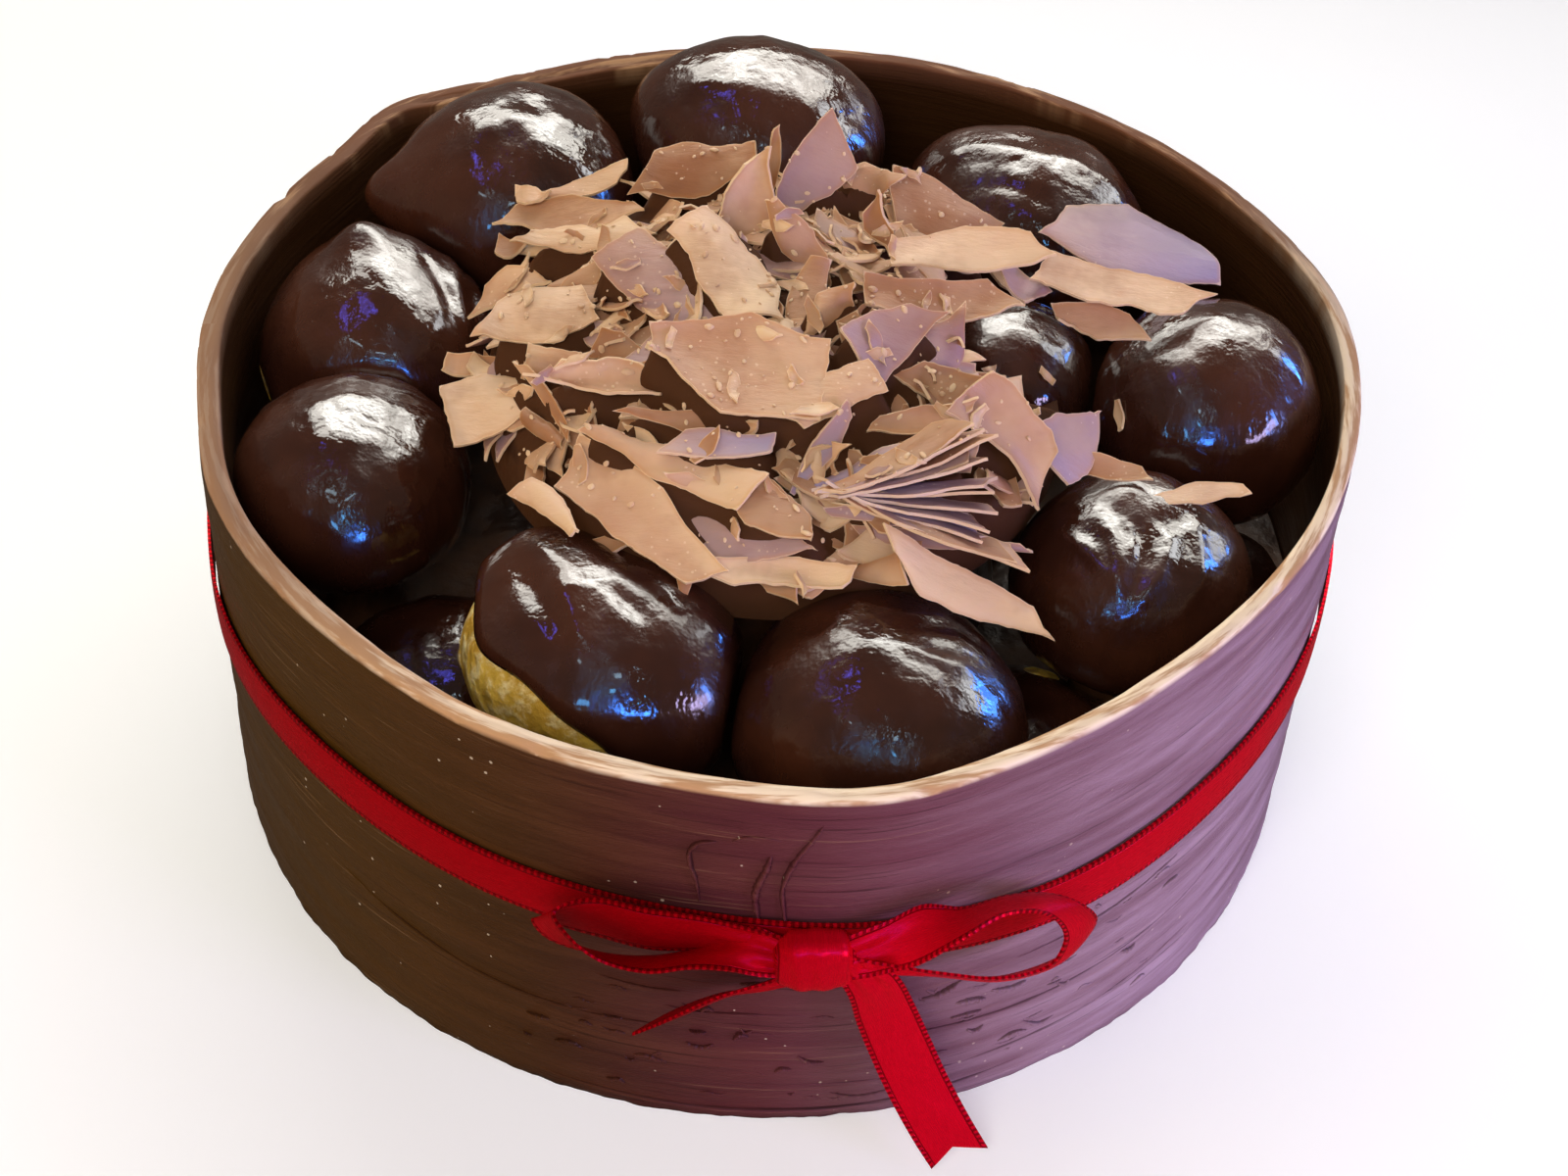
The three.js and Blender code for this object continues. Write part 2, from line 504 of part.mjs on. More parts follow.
// A point of a bun's skin along a direction from its middle. `grow` swells the bun or shrinks it.
function bunPoint(bun, direction, grow) {
  const point = direction.clone().multiplyScalar(ovalReach(bun, direction) + lumpHeight(bun, direction) + grow);
  for (const press of bun.presses) {
    const reached = point.dot(press.towards);
    point.addScaledVector(press.towards, softMin(reached, press.side + grow, CONTACT_SOFTNESS) - reached);
  }
  point.add(centreOf(bun));
  const bearing = bearingOf(point);
  const radius = Math.hypot(point.x, point.y);
  const limit = wallInner(bearing, clamp(point.z, 0, COLLAR_HEIGHT)) - GAP + Math.min(grow, 0);
  const pressed = softMin(radius, limit, CONTACT_SOFTNESS);
  point.x *= pressed / radius;
  point.y *= pressed / radius;
  point.z = Math.max(softMax(point.z, undersideOf(bun) - grow, CONTACT_SOFTNESS), undersideOf(bun) - grow);
  return point;
}

function makeBun(bun, sides, rings, grow) {
  const ball = new THREE.SphereGeometry(1, sides, rings).rotateX(Math.PI / 2);
  return toSolid(reshape(ball, (point) => bunPoint(bun, point.normalize(), grow)));
}

// A shell over one side of a bun. The ball's upper half becomes its outside and the lower half
// its inside, and both meet in the wavy edge.
function makeGlaze(bun) {
  const middle = new THREE.Vector3(...GLAZE_TOWARDS).normalize();
  const tip = new THREE.Quaternion().setFromUnitVectors(new THREE.Vector3(0, 0, 1), middle);
  const ball = new THREE.SphereGeometry(1, GLAZE_SIDES, 2 * GLAZE_RINGS).rotateX(Math.PI / 2);
  return toSolid(reshape(ball, (point) => {
    const bearing = bearingOf(point);
    const fromPole = Math.acos(clamp(Math.abs(point.z) / point.length(), 0, 1)) / (Math.PI / 2);
    const reach = GLAZE_EDGE_WAVES.reduce(
      (sum, wave) => sum + wave.size * Math.sin(degrees(wave.count * bearing + wave.turn)), GLAZE_REACH);
    const direction = directionFrom(bearing, 90 - reach * fromPole).applyQuaternion(tip);
    const thinned = GLAZE_THICKNESS * GLAZE_EDGE.thinned * fromPole ** GLAZE_EDGE.outerPower;
    const inner = mix(-GLAZE_THICKNESS, -thinned, fromPole ** GLAZE_EDGE.innerPower);
    return bunPoint(bun, direction, point.z > SAME_LEVEL ? -thinned : inner);
  }));
}

function makeBuns() {
  const random = randomSource(LUMP_SEED);
  const topBuns = TOP_BUNS.map((bun, i) => ({ ...bun, lumps: drawLumps(random, NAMED_LUMPS[i + 1] ?? []) }));
  const lowBuns = LOW_BUNS.map((bun) => ({ ...bun, lumps: drawLumps(random, []) }));
  pressTogether([...topBuns, ...lowBuns]);
  return { topBuns, lowBuns };
}

// ---------------------------------------------------------------- the pile inside

// A round block with straight sloping sides, its top at a level.
function seat(x, y, bottom, top, radius, skirt, sides) {
  return toSolid(reshape(
    new THREE.CylinderGeometry(radius, radius + skirt, top - bottom, sides).rotateX(Math.PI / 2),
    (point) => point.add(new THREE.Vector3(x, y, (top + bottom) / 2)),
  ));
}

function makeFilling(buns, cutters) {
  const floor = new THREE.CylinderGeometry(CAKE_RADIUS, CAKE_RADIUS, FILLING_TOP, COLLAR_STEPS, 1);
  const disc = toSolid(reshape(floor.rotateX(Math.PI / 2), (point) => {
    const height = point.z + FILLING_TOP / 2;
    const bearing = bearingOf(point);
    const share = Math.hypot(point.x, point.y) / CAKE_RADIUS;
    return directionFrom(bearing, 0).multiplyScalar(share * (wallInner(bearing, height) - GAP)).setZ(height);
  }));
  const bottom = FILLING_TOP / 2;
  const seats = buns.map((bun) =>
    seat(bun.x, bun.y, bottom, undersideOf(bun) - GAP, SEAT_RADIUS, SEAT_SKIRT, SEAT_SIDES));
  const centre = seat(HEAP.x, 0, bottom, CENTRE_TOP, CENTRE_RADIUS, CENTRE_SKIRT, CENTRE_SIDES);
  return largest(joined([disc, centre, ...seats]).subtract(joined(cutters)));
}

// ---------------------------------------------------------------- shavings

// The smooth top of the heap, which the shavings lie along.
function heapHeight(x, y) {
  const out = Math.hypot((x - HEAP.x) / HEAP.radiusX, (y - HEAP.y) / HEAP.radiusY);
  return HEAP.edgeTop + HEAP.rise * Math.max(0, 1 - out * out) ** HEAP.power - HEAP.fall * Math.max(0, out - 1);
}

function readFlake(values) {
  const flake = Object.fromEntries(FLAKE_COLUMNS.map((column, i) => [column, values[i]]));
  flake.face = directionFrom(flake.facing, 90 - flake.lean);
  flake.along = directionFrom(flake.turn, 0);
  flake.along.addScaledVector(flake.face, -flake.along.dot(flake.face)).normalize();
  flake.across = new THREE.Vector3().crossVectors(flake.face, flake.along);
  flake.centre = new THREE.Vector3(flake.x, flake.y, flake.z);
  return flake;
}

function flakeWidth(flake, s) {
  const width = s < 0.5 ? mix(flake.start, flake.middle, s / 0.5) : mix(flake.middle, flake.end, (s - 0.5) / 0.5);
  return Math.max(MIN_FLAKE_WIDTH, width);
}

const flakeBow = (flake, s) => flake.bow * (1 - (2 * s - 1) ** 2);

// The height at which a flake passes over a place, or nothing where it doesn't reach.
function heightUnderFlake(flake, x, y) {
  const { face, along, across, centre, length } = flake;
  const level = centre.z - ((x - centre.x) * face.x + (y - centre.y) * face.y) / face.z;
  const offset = new THREE.Vector3(x, y, level).sub(centre);
  const s = offset.dot(along) / length + 0.5;
  if (s < 0 || s > 1) return null;
  const side = Math.abs(offset.dot(across) - flakeBow(flake, s));
  return side < flakeWidth(flake, s) / 2 + UNDER_FLAKE.margin ? level : null;
}

function makeHeapCore(flakes) {
  const random = randomSource(HEAP_SEED);
  const { reach, rings, sides, sink, bump, bottom } = HEAP_CORE;
  const profile = [new THREE.Vector2(0, 0), new THREE.Vector2(reach, 0)];
  for (let i = rings; i >= 0; i -= 1) profile.push(new THREE.Vector2((reach * i) / rings, 1));
  return toSolid(reshape(new THREE.LatheGeometry(profile, sides).rotateX(Math.PI / 2), (point) => {
    const x = HEAP.x + point.x * HEAP.radiusX;
    const y = HEAP.y + point.y * HEAP.radiusY;
    const onBottom = point.z < 0.5; // the profile runs from 0 to 1
    if (onBottom) return new THREE.Vector3(x, y, bottom);
    const plain = heapHeight(x, y) - sink + bump * (2 * random() - 1);
    const carried = flakes.map((flake) => heightUnderFlake(flake, x, y))
      .filter((level) => level !== null && level < plain + UNDER_FLAKE.most)
      .map((level) => level - UNDER_FLAKE.inside);
    return new THREE.Vector3(x, y, Math.max(plain, ...carried));
  }));
}

// A thin leaf of chocolate. Both faces are split into triangles alike.
function makeFlake(flake) {
  const rings = [];
  for (let i = 0; i <= FLAKE_STEPS; i += 1) {
    const s = i / FLAKE_STEPS;
    const ring = [-1, 0, 1].map((t) => {
      const sideways = flakeBow(flake, s) + (t * flakeWidth(flake, s)) / 2;
      const rise = FLAKE_WAVE * Math.sin(FLAKE_WAVE_TURNS * s + flake.x + t) - flake.curl * t * t;
      return flake.centre.clone().addScaledVector(flake.along, (s - 0.5) * flake.length)
        .addScaledVector(flake.across, sideways).addScaledVector(flake.face, rise);
    });
    const under = ring.map((point) => point.clone().addScaledVector(flake.face, -FLAKE_THICKNESS)).reverse();
    rings.push([...ring, ...under]);
  }
  return toSolid(leafLoft(rings));
}

// A shaving that would cut into a bun is left out.
function makeShavings(obstacles) {
  const flakes = FLAKES.map(readFlake);
  const clear = flakes.map(makeFlake).filter((solid) => overlap(solid, obstacles) < FLAKE_TOUCH);
  return largest(joined([makeHeapCore(flakes).subtract(obstacles), ...clear]));
}

// ---------------------------------------------------------------- ribbon

const offWall = (point, distance) => {
  const bearing = bearingOf(point);
  const radius = Math.hypot(point.x, point.y);
  const least = wallOuter(bearing, clamp(point.z, 0, COLLAR_HEIGHT)) + distance;
  if (radius >= least) return point;
  return directionFrom(bearing, 0).multiplyScalar(least).setZ(point.z);
};

function makeBand() {
  const [near, far] = [BAND_OFF_WALL, BAND_OFF_WALL + RIBBON_THICKNESS];
  const half = RIBBON_WIDTH / 2;
  const profile = [[near, -half], [far, -half], [far, half], [near, half], [near, -half]]
    .map(([out, up]) => new THREE.Vector2(CAKE_RADIUS + out, up));
  const ring = new THREE.LatheGeometry(profile, COLLAR_STEPS).rotateX(Math.PI / 2);
  return toSolid(reshape(ring, (point) => {
    const bearing = bearingOf(point);
    const out = Math.hypot(point.x, point.y) - CAKE_RADIUS;
    const height = BAND_HEIGHT + sumOfBells(bearing, BAND_DRIFTS) + point.z;
    return directionFrom(bearing, 0).multiplyScalar(wallOuter(bearing, height) + out).setZ(height);
  }));
}

// A length of ribbon through its places, between two of them.
function makeStrip(places, from, to) {
  const edge = new THREE.CatmullRomCurve3(places.map((place) => new THREE.Vector3(...place.edge)));
  const farEdge = new THREE.CatmullRomCurve3(places.map((place) =>
    new THREE.Vector3(...place.edge).addScaledVector(new THREE.Vector3(...place.across).normalize(), place.width)));
  const rings = [];
  const steps = (to - from) * STRIP_SUBSTEPS;
  for (let i = 0; i <= steps; i += 1) {
    const t = clamp((from + i / STRIP_SUBSTEPS) / (places.length - 1), 0, 1);
    const [a, b] = [edge.getPoint(t), farEdge.getPoint(t)];
    const face = new THREE.Vector3().crossVectors(edge.getTangent(t), b.clone().sub(a)).normalize();
    face.multiplyScalar(RIBBON_THICKNESS / 2);
    const corners = [a.clone().add(face), b.clone().add(face), b.clone().sub(face), a.clone().sub(face)];
    rings.push(corners.map((corner) => offWall(corner, BOW_OFF_WALL)));
  }
  return toSolid(loft(rings));
}

// A loop folds back on itself, so it is made as two strands that meet at the fold.
function makeLoop(places, fold) {
  return makeStrip(places, 0, fold).add(makeStrip(places, fold, places.length - 1));
}

function makeKnot() {
  const ball = new THREE.SphereGeometry(1, KNOT_SIDES, KNOT_RINGS).rotateX(Math.PI / 2);
  const facing = bearingOf(KNOT) + 90;
  return toSolid(reshape(ball, (point) => {
    const sizes = [KNOT.halfWidth, KNOT.halfDepth, KNOT.halfHeight];
    const parts = point.toArray().map((value) => Math.abs(value) ** KNOT.roundness);
    const reach = parts.reduce((sum, value) => sum + value, 0) ** (-1 / KNOT.roundness);
    point.set(...point.toArray().map((value, i) => value * reach * sizes[i]));
    point.applyAxisAngle(new THREE.Vector3(0, 0, 1), degrees(facing));
    return offWall(point.add(new THREE.Vector3(KNOT.x, KNOT.y, KNOT.z)), BOW_OFF_WALL);
  }));
}

// The swallow-tail cut in the end of the right tail.
function makeNotch() {
  const end = RIGHT_TAIL[RIGHT_TAIL.length - 1];
  const before = RIGHT_TAIL[RIGHT_TAIL.length - 2];
  const start = new THREE.Vector3(...end.edge);
  const across = new THREE.Vector3(...end.across).normalize();
  const along = start.clone().sub(new THREE.Vector3(...before.edge)).normalize();
  const through = new THREE.Vector3().crossVectors(along, across).normalize().multiplyScalar(NOTCH_DEPTH);
  const beyond = along.clone().multiplyScalar(NOTCH_DEPTH / 2);
  const corners = [
    start.clone().addScaledVector(across, NOTCH_INSET).add(beyond),
    start.clone().addScaledVector(across, RIBBON_WIDTH - NOTCH_INSET).add(beyond),
    start.clone().addScaledVector(across, RIBBON_WIDTH / 2).addScaledVector(along, -NOTCH_DEPTH),
  ];
  return toSolid(loft([-1, 1].map((side) =>
    corners.map((corner) => corner.clone().addScaledVector(through, side)))));
}

function makeRibbon() {
  const rightTail = makeStrip(RIGHT_TAIL, 0, RIGHT_TAIL.length - 1).subtract(makeNotch());
  return largest(joined([
    makeBand(), makeKnot(), makeLoop(LEFT_LOOP, LEFT_FOLD), makeLoop(RIGHT_LOOP, RIGHT_FOLD),
    makeStrip(LEFT_TAIL, 0, LEFT_TAIL.length - 1), rightTail,
  ]));
}

// ---------------------------------------------------------------- the cake

const cake = new THREE.Group();
cake.name = 'profiterole_cake';

const { topBuns, lowBuns } = makeBuns();
const cutterOf = (bun) => makeBun(bun, CUTTER.sides, CUTTER.rings, CUTTER.grow);
const bareBun = topBuns[BARE_BUN - 1];

cake.add(named('chocolate_collar', makeCollar(), finishes.darkWall));
cake.add(named('cake_filling',
  makeFilling(topBuns, [...lowBuns, topBuns[BURIED_BUN - 1]].map(cutterOf)), finishes.pile));
for (const [i, bun] of lowBuns.entries()) {
  cake.add(named(`low_profiterole_${i + 1}`, makeBun(bun, LOW_BUN_SIDES, LOW_BUN_RINGS, 0), finishes.glaze));
}
for (const [i, bun] of topBuns.entries()) {
  const shrink = bun === bareBun ? -(GLAZE_THICKNESS + 3 * GAP) : 0;
  const finish = bun === bareBun ? finishes.choux : finishes.glaze;
  cake.add(named(`profiterole_${i + 1}`, makeBun(bun, BUN_SIDES, BUN_RINGS, shrink), finish));
}
cake.add(named(`profiterole_${BARE_BUN}_glaze`, makeGlaze(bareBun), finishes.glaze));

const obstacles = joined(topBuns.map(cutterOf));
const shavings = makeShavings(obstacles);
cake.add(named('shavings', shavings, finishes.shaving));
LOOSE_FLAKES.forEach((values, i) => {
  cake.add(named(`loose_shaving_${i + 1}`, makeFlake(readFlake(values)), finishes.shaving));
});
cake.add(named('ribbon', makeRibbon(), finishes.ribbon));

export default cake;
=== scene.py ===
"""Dresses a packed profiterole cake: its chocolate collar, glazed buns, shavings and satin ribbon.

Sizes and places are in millimetres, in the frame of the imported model, and every mesh is written in
metres. The cake stands on z = 0 with its bow towards -Y.
"""

from __future__ import annotations

import logging
import math
from contextlib import contextmanager
from dataclasses import dataclass, field, replace
from enum import Enum
from typing import Callable, ClassVar, Iterator, Sequence

import bmesh
import bpy
import numpy as np
from mathutils import Matrix, Vector, noise

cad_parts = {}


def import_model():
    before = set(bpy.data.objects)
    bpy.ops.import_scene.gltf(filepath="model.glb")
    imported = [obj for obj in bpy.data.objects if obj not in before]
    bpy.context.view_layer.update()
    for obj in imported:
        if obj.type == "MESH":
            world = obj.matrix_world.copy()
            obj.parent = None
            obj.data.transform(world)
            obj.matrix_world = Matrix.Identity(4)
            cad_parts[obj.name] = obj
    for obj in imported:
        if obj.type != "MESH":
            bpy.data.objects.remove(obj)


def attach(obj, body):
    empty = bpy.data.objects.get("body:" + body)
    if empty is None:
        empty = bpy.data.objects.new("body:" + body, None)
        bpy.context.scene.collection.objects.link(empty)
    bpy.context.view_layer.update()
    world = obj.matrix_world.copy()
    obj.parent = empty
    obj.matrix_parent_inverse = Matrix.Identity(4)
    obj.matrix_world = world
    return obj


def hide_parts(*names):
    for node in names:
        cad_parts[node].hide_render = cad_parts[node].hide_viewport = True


LOG = logging.getLogger("profiterole_cake")
MM = 0.001
Colour = tuple[float, float, float]
Point = tuple[float, float, float]
Array = np.ndarray
Piece = bpy.types.Object
Material = bpy.types.Material
Tree = bpy.types.NodeTree
Node = bpy.types.Node
Socket = bpy.types.NodeSocket


# ---- numbers


def smooth_step(low: float, high: float, value: Array) -> Array:
    """Rises smoothly from 0 at `low` to 1 at `high`."""
    share = np.clip((np.asarray(value, float) - low) / (high - low), 0.0, 1.0)
    return share * share * (3.0 - 2.0 * share)


def soft_min(a: Array, b: Array, sharpness: float) -> Array:
    """The smaller of two values, with a rounded change from one to the other."""
    return np.minimum(a, b) - np.log1p(np.exp(-sharpness * np.abs(a - b))) / sharpness


def soft_max(a: Array, b: Array, sharpness: float) -> Array:
    """The larger of two values, rounded in the same way as `soft_min`."""
    return -soft_min(-np.asarray(a), -np.asarray(b), sharpness)


def turn_between(a: Array, b: float) -> Array:
    """The turn in degrees from bearing `b` to bearing `a`, from -180 to 180."""
    return (np.asarray(a) - b + 180.0) % 360.0 - 180.0


def bearing_of(points: Array) -> Array:
    """The bearing of each point round the cake's axis, in degrees from +X."""
    return np.degrees(np.arctan2(points[..., 1], points[..., 0]))


def towards(bearing: Array, height: Array) -> Array:
    """Unit directions from bearings and angles above level, both in degrees."""
    b, h = np.radians(np.broadcast_arrays(bearing, height))
    return np.stack([np.cos(b) * np.cos(h), np.sin(b) * np.cos(h), np.sin(h)], axis=-1)


def around(bearing: Array, radius: float | Array, height: float | Array) -> Array:
    """Points from bearings in degrees, radii and heights."""
    angle = np.radians(bearing)
    return np.stack(np.broadcast_arrays(np.cos(angle) * radius, np.sin(angle) * radius, height), axis=-1)


def noise_at(points: Array, scale: float, seed: float, octaves: int = 2) -> Array:
    """Smooth noise from about -1 to 1 at each point."""
    shift = Vector((seed * 1.7, seed * -2.3, seed * 0.9))
    rows = points.reshape(-1, 3) / scale
    return np.array([noise.fractal(Vector(row) + shift, 1.0, 2.0, octaves) for row in rows])


class Draws:
    """A seeded row of random numbers, the same on every run."""

    FACTOR = 1664525
    STEP = 1013904223
    STATES = 2 ** 32

    def __init__(self, seed: int) -> None:
        """Starts the row."""
        self.state = seed

    def next(self) -> float:
        """The next number from 0 up to 1."""
        self.state = (self.state * self.FACTOR + self.STEP) % self.STATES
        return self.state / self.STATES

    def between(self, low: float, high: float) -> float:
        """The next number from `low` up to `high`."""
        return low + (high - low) * self.next()


@dataclass(frozen=True)
class Bell:
    """A smooth push that is strongest at one bearing."""

    at: float
    spread: float
    push: float


def sum_of_bells(bearing: Array, bells: Sequence[Bell]) -> Array:
    """Adds up the pushes of several bells.

    Args:
        bearing: bearings in degrees.
        bells: the bells.

    Returns:
        The sum at each bearing.
    """
    total = np.zeros(np.shape(bearing))
    for bell in bells:
        total = total + bell.push * np.exp(-((turn_between(bearing, bell.at) / bell.spread) ** 2))
    return total


# ---- modelling


class Modeller:
    """Short calls for modelling with operators, one piece at a time."""

    @staticmethod
    def only(piece: Piece) -> None:
        """Makes one object the only one selected, and the active one."""
        bpy.ops.object.select_all(action="DESELECT")
        piece.select_set(True)
        bpy.context.view_layer.objects.active = piece

    @staticmethod
    def added(name: str) -> Piece:
        """Names the object that an operator has just added, and puts its place in its mesh."""
        piece = bpy.context.view_layer.objects.active
        piece.name = name
        piece.data.name = name
        Modeller.only(piece)
        bpy.ops.object.transform_apply(location=True, rotation=True, scale=True)
        return piece

    @staticmethod
    @contextmanager
    def editing() -> Iterator[None]:
        """Opens the active piece for mesh operators, all of it selected, and closes it again."""
        bpy.ops.object.mode_set(mode="EDIT")
        bpy.ops.mesh.select_all(action="SELECT")
        yield
        bpy.ops.object.mode_set(mode="OBJECT")

    @staticmethod
    def ball(name: str, cuts: int) -> Piece:
        """A ball of radius 1 made of six square patches, so that it has no poles.

        Args:
            name: the new object's name.
            cuts: how many times each edge of the first cube is cut.

        Returns:
            The ball.
        """
        bpy.ops.mesh.primitive_cube_add(size=2.0)
        piece = Modeller.added(name)
        with Modeller.editing():
            bpy.ops.mesh.subdivide(number_cuts=cuts)
        corners = Modeller.read(piece)
        spread = np.tan(corners * math.pi / 4.0)
        Modeller.write(piece, spread / np.linalg.norm(spread, axis=1, keepdims=True))
        return piece

    @staticmethod
    def grid(name: str, along: int, across: int) -> Piece:
        """A flat grid from -0.5 to 0.5 both ways, with its own UV map.

        Args:
            name: the new object's name.
            along: steps along X.
            across: steps along Y.

        Returns:
            The grid.
        """
        bpy.ops.mesh.primitive_grid_add(
            x_subdivisions=along, y_subdivisions=across, size=1.0, calc_uvs=True
        )
        return Modeller.added(name)

    @staticmethod
    def turned(name: str, profile: Sequence[tuple[float, float]], steps: int, closed: bool) -> Piece:
        """A body turned round the Z axis from a profile of radii and heights.

        Args:
            name: the new object's name.
            profile: radius and height of each corner.
            steps: segments round the axis.
            closed: whether the profile's end joins its start.

        Returns:
            The turned body.
        """
        bpy.ops.mesh.primitive_circle_add(vertices=max(3, len(profile)), radius=1.0)
        piece = Modeller.added(name)
        mesh = bmesh.new()
        rows = [mesh.verts.new((radius, 0.0, height)) for radius, height in profile]
        for first, second in zip(rows, rows[1:]):
            mesh.edges.new((first, second))
        if closed:
            mesh.edges.new((rows[-1], rows[0]))
        mesh.to_mesh(piece.data)
        mesh.free()
        with Modeller.editing():
            bpy.ops.mesh.spin(steps=steps, angle=2.0 * math.pi, center=(0, 0, 0), axis=(0, 0, 1))
            bpy.ops.mesh.select_all(action="SELECT")
            bpy.ops.mesh.remove_doubles(threshold=1e-5)
            bpy.ops.mesh.normals_make_consistent(inside=False)
        return piece

    @staticmethod
    def read(piece: Piece) -> Array:
        """The corners of a piece, one row each."""
        flat = np.zeros(len(piece.data.vertices) * 3)
        piece.data.vertices.foreach_get("co", flat)
        return flat.reshape(-1, 3)

    @staticmethod
    def write(piece: Piece, corners: Array) -> None:
        """Moves the corners of a piece."""
        piece.data.vertices.foreach_set("co", corners.reshape(-1))
        piece.data.update()

    @staticmethod
    def modify(piece: Piece, kind: str, **settings: object) -> None:
        """Adds a modifier and applies it.

        Args:
            piece: the piece.
            kind: the modifier's type, such as "SUBSURF".
            settings: its settings by name.
        """
        Modeller.only(piece)
        modifier = piece.modifiers.new(kind.title(), kind)
        for key, value in settings.items():
            setattr(modifier, key, value)
        bpy.ops.object.modifier_apply(modifier=modifier.name)

    @staticmethod
    def outward(piece: Piece) -> None:
        """Merges the corners that lie on each other and turns every face outwards."""
        Modeller.only(piece)
        with Modeller.editing():
            bpy.ops.mesh.remove_doubles(threshold=1e-6)
            bpy.ops.mesh.normals_make_consistent(inside=False)

    @staticmethod
    def smooth(piece: Piece, angle: float = 180.0) -> None:
        """Shades a piece smooth, with hard edges above an angle in degrees."""
        Modeller.only(piece)
        if angle >= 180.0:
            bpy.ops.object.shade_smooth()
        else:
            bpy.ops.object.shade_smooth_by_angle(angle=math.radians(angle))

    @staticmethod
    def joined(name: str, pieces: Sequence[Piece]) -> Piece:
        """Joins pieces into the first of them.

        Args:
            name: the name of the result.
            pieces: the pieces.

        Returns:
            The one piece that is left.
        """
        bpy.ops.object.select_all(action="DESELECT")
        for piece in pieces:
            piece.select_set(True)
        bpy.context.view_layer.objects.active = pieces[0]
        if len(pieces) > 1:
            bpy.ops.object.join()
        pieces[0].name = name
        pieces[0].data.name = name
        return pieces[0]

    @staticmethod
    def layer(piece: Piece, name: str, values: Array) -> None:
        """Keeps one number for each corner of a piece, for its material to read."""
        kept = piece.data.attributes.new(name, "FLOAT", "POINT")
        kept.data.foreach_set("value", np.asarray(values, np.float32))

    @staticmethod
    def painted(piece: Piece, material: Material) -> None:
        """Gives a piece one material."""
        piece.data.materials.clear()
        piece.data.materials.append(material)

    @staticmethod
    def done(piece: Piece, material: Material, slot: str, *nodes: str) -> None:
        """Paints a piece, lets it ride on the cake and hides the nodes that it replaces.

        Args:
            piece: the piece.
            material: its material.
            slot: not used.
            nodes: the nodes that it replaces.
        """
        Modeller.painted(piece, material)
        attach(piece, "root")
        if nodes:
            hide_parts(*nodes)
        LOG.info("%s: %d corners", piece.name, len(piece.data.vertices))


# ---- finishes


class Shader:
    """A node tree, with short calls that add and link its nodes."""

    def __init__(self, tree: Tree) -> None:
        """Starts on a tree."""
        self.tree = tree

    def node(self, kind: str, inputs: dict | None = None, **settings: object) -> Node:
        """Adds a node, sets its properties and feeds its inputs."""
        made = self.tree.nodes.new("ShaderNode" + kind)
        for key, value in settings.items():
            setattr(made, key, value)
        for key, value in (inputs or {}).items():
            self.feed(made.inputs[key], value)
        return made

    def feed(self, target: Socket, value: object) -> None:
        """Links a socket to a socket, or sets its plain value."""
        if isinstance(value, Socket):
            self.tree.links.new(value, target)
        elif isinstance(value, tuple) and target.type == "RGBA" and len(value) == 3:
            target.default_value = (*value, 1.0)
        else:
            target.default_value = value

    def object_place(self, scale: Point = (1.0, 1.0, 1.0)) -> Socket:
        """The place on the object in metres, stretched along each axis."""
        place = self.node("TexCoord").outputs["Object"]
        return self.node("Mapping", {"Vector": place, "Scale": scale}).outputs["Vector"]

    def noise(self, place: object, scale: object, detail: float = 3.0, rough: float = 0.5) -> Socket:
        """Smooth noise from 0 to 1 at a place."""
        inputs = {"Vector": place, "Scale": scale, "Detail": detail, "Roughness": rough}
        return self.node("TexNoise", inputs).outputs["Fac"]

    def cells(self, place: object, scale: object, feature: str = "F1") -> Socket:
        """The distance to the nearest of many scattered points."""
        inputs = {"Vector": place, "Scale": scale}
        return self.node("TexVoronoi", inputs, feature=feature).outputs["Distance"]

    def ranged(self, value: object, low: float, high: float, to_low: float = 0.0,
               to_high: float = 1.0) -> Socket:
        """A value carried smoothly from one range to another and kept inside it."""
        made = self.node("MapRange", interpolation_type="SMOOTHSTEP", clamp=True)
        for name, number in (("From Min", low), ("From Max", high), ("To Min", to_low),
                             ("To Max", to_high)):
            made.inputs[name].default_value = number
        self.feed(made.inputs["Value"], value)
        return made.outputs["Result"]

    def math(self, operation: str, a: object, b: object = 0.0) -> Socket:
        """One sum on two values."""
        return self.node("Math", {0: a, 1: b}, operation=operation).outputs[0]

    def times(self, a: object, b: object) -> Socket:
        """One value scaled by another."""
        return self.math("MULTIPLY", a, b)

    def mixed(self, share: object, a: object, b: object, blend: str = "MIX") -> Socket:
        """One colour laid over another."""
        inputs = {0: share, 6: a, 7: b}
        return self.node("Mix", inputs, data_type="RGBA", blend_type=blend).outputs[2]

    def layer(self, name: str) -> Socket:
        """A number kept at each corner of the mesh."""
        return self.node("Attribute", attribute_type="GEOMETRY", attribute_name=name).outputs["Fac"]

    def bump(self, height: object, strength: float, distance: float, normal: object = None) -> Socket:
        """A bumped normal. `distance` is in millimetres."""
        inputs = {"Strength": strength, "Distance": distance * MM, "Height": height}
        if normal is not None:
            inputs["Normal"] = normal
        return self.node("Bump", inputs).outputs["Normal"]

    def group(self, group: Tree, **inputs: object) -> Node:
        """Places a shared effect with its own values."""
        made = self.node("Group", node_tree=group)
        for name, value in inputs.items():
            self.feed(made.inputs[name.replace("_", " ").title()], value)
        return made


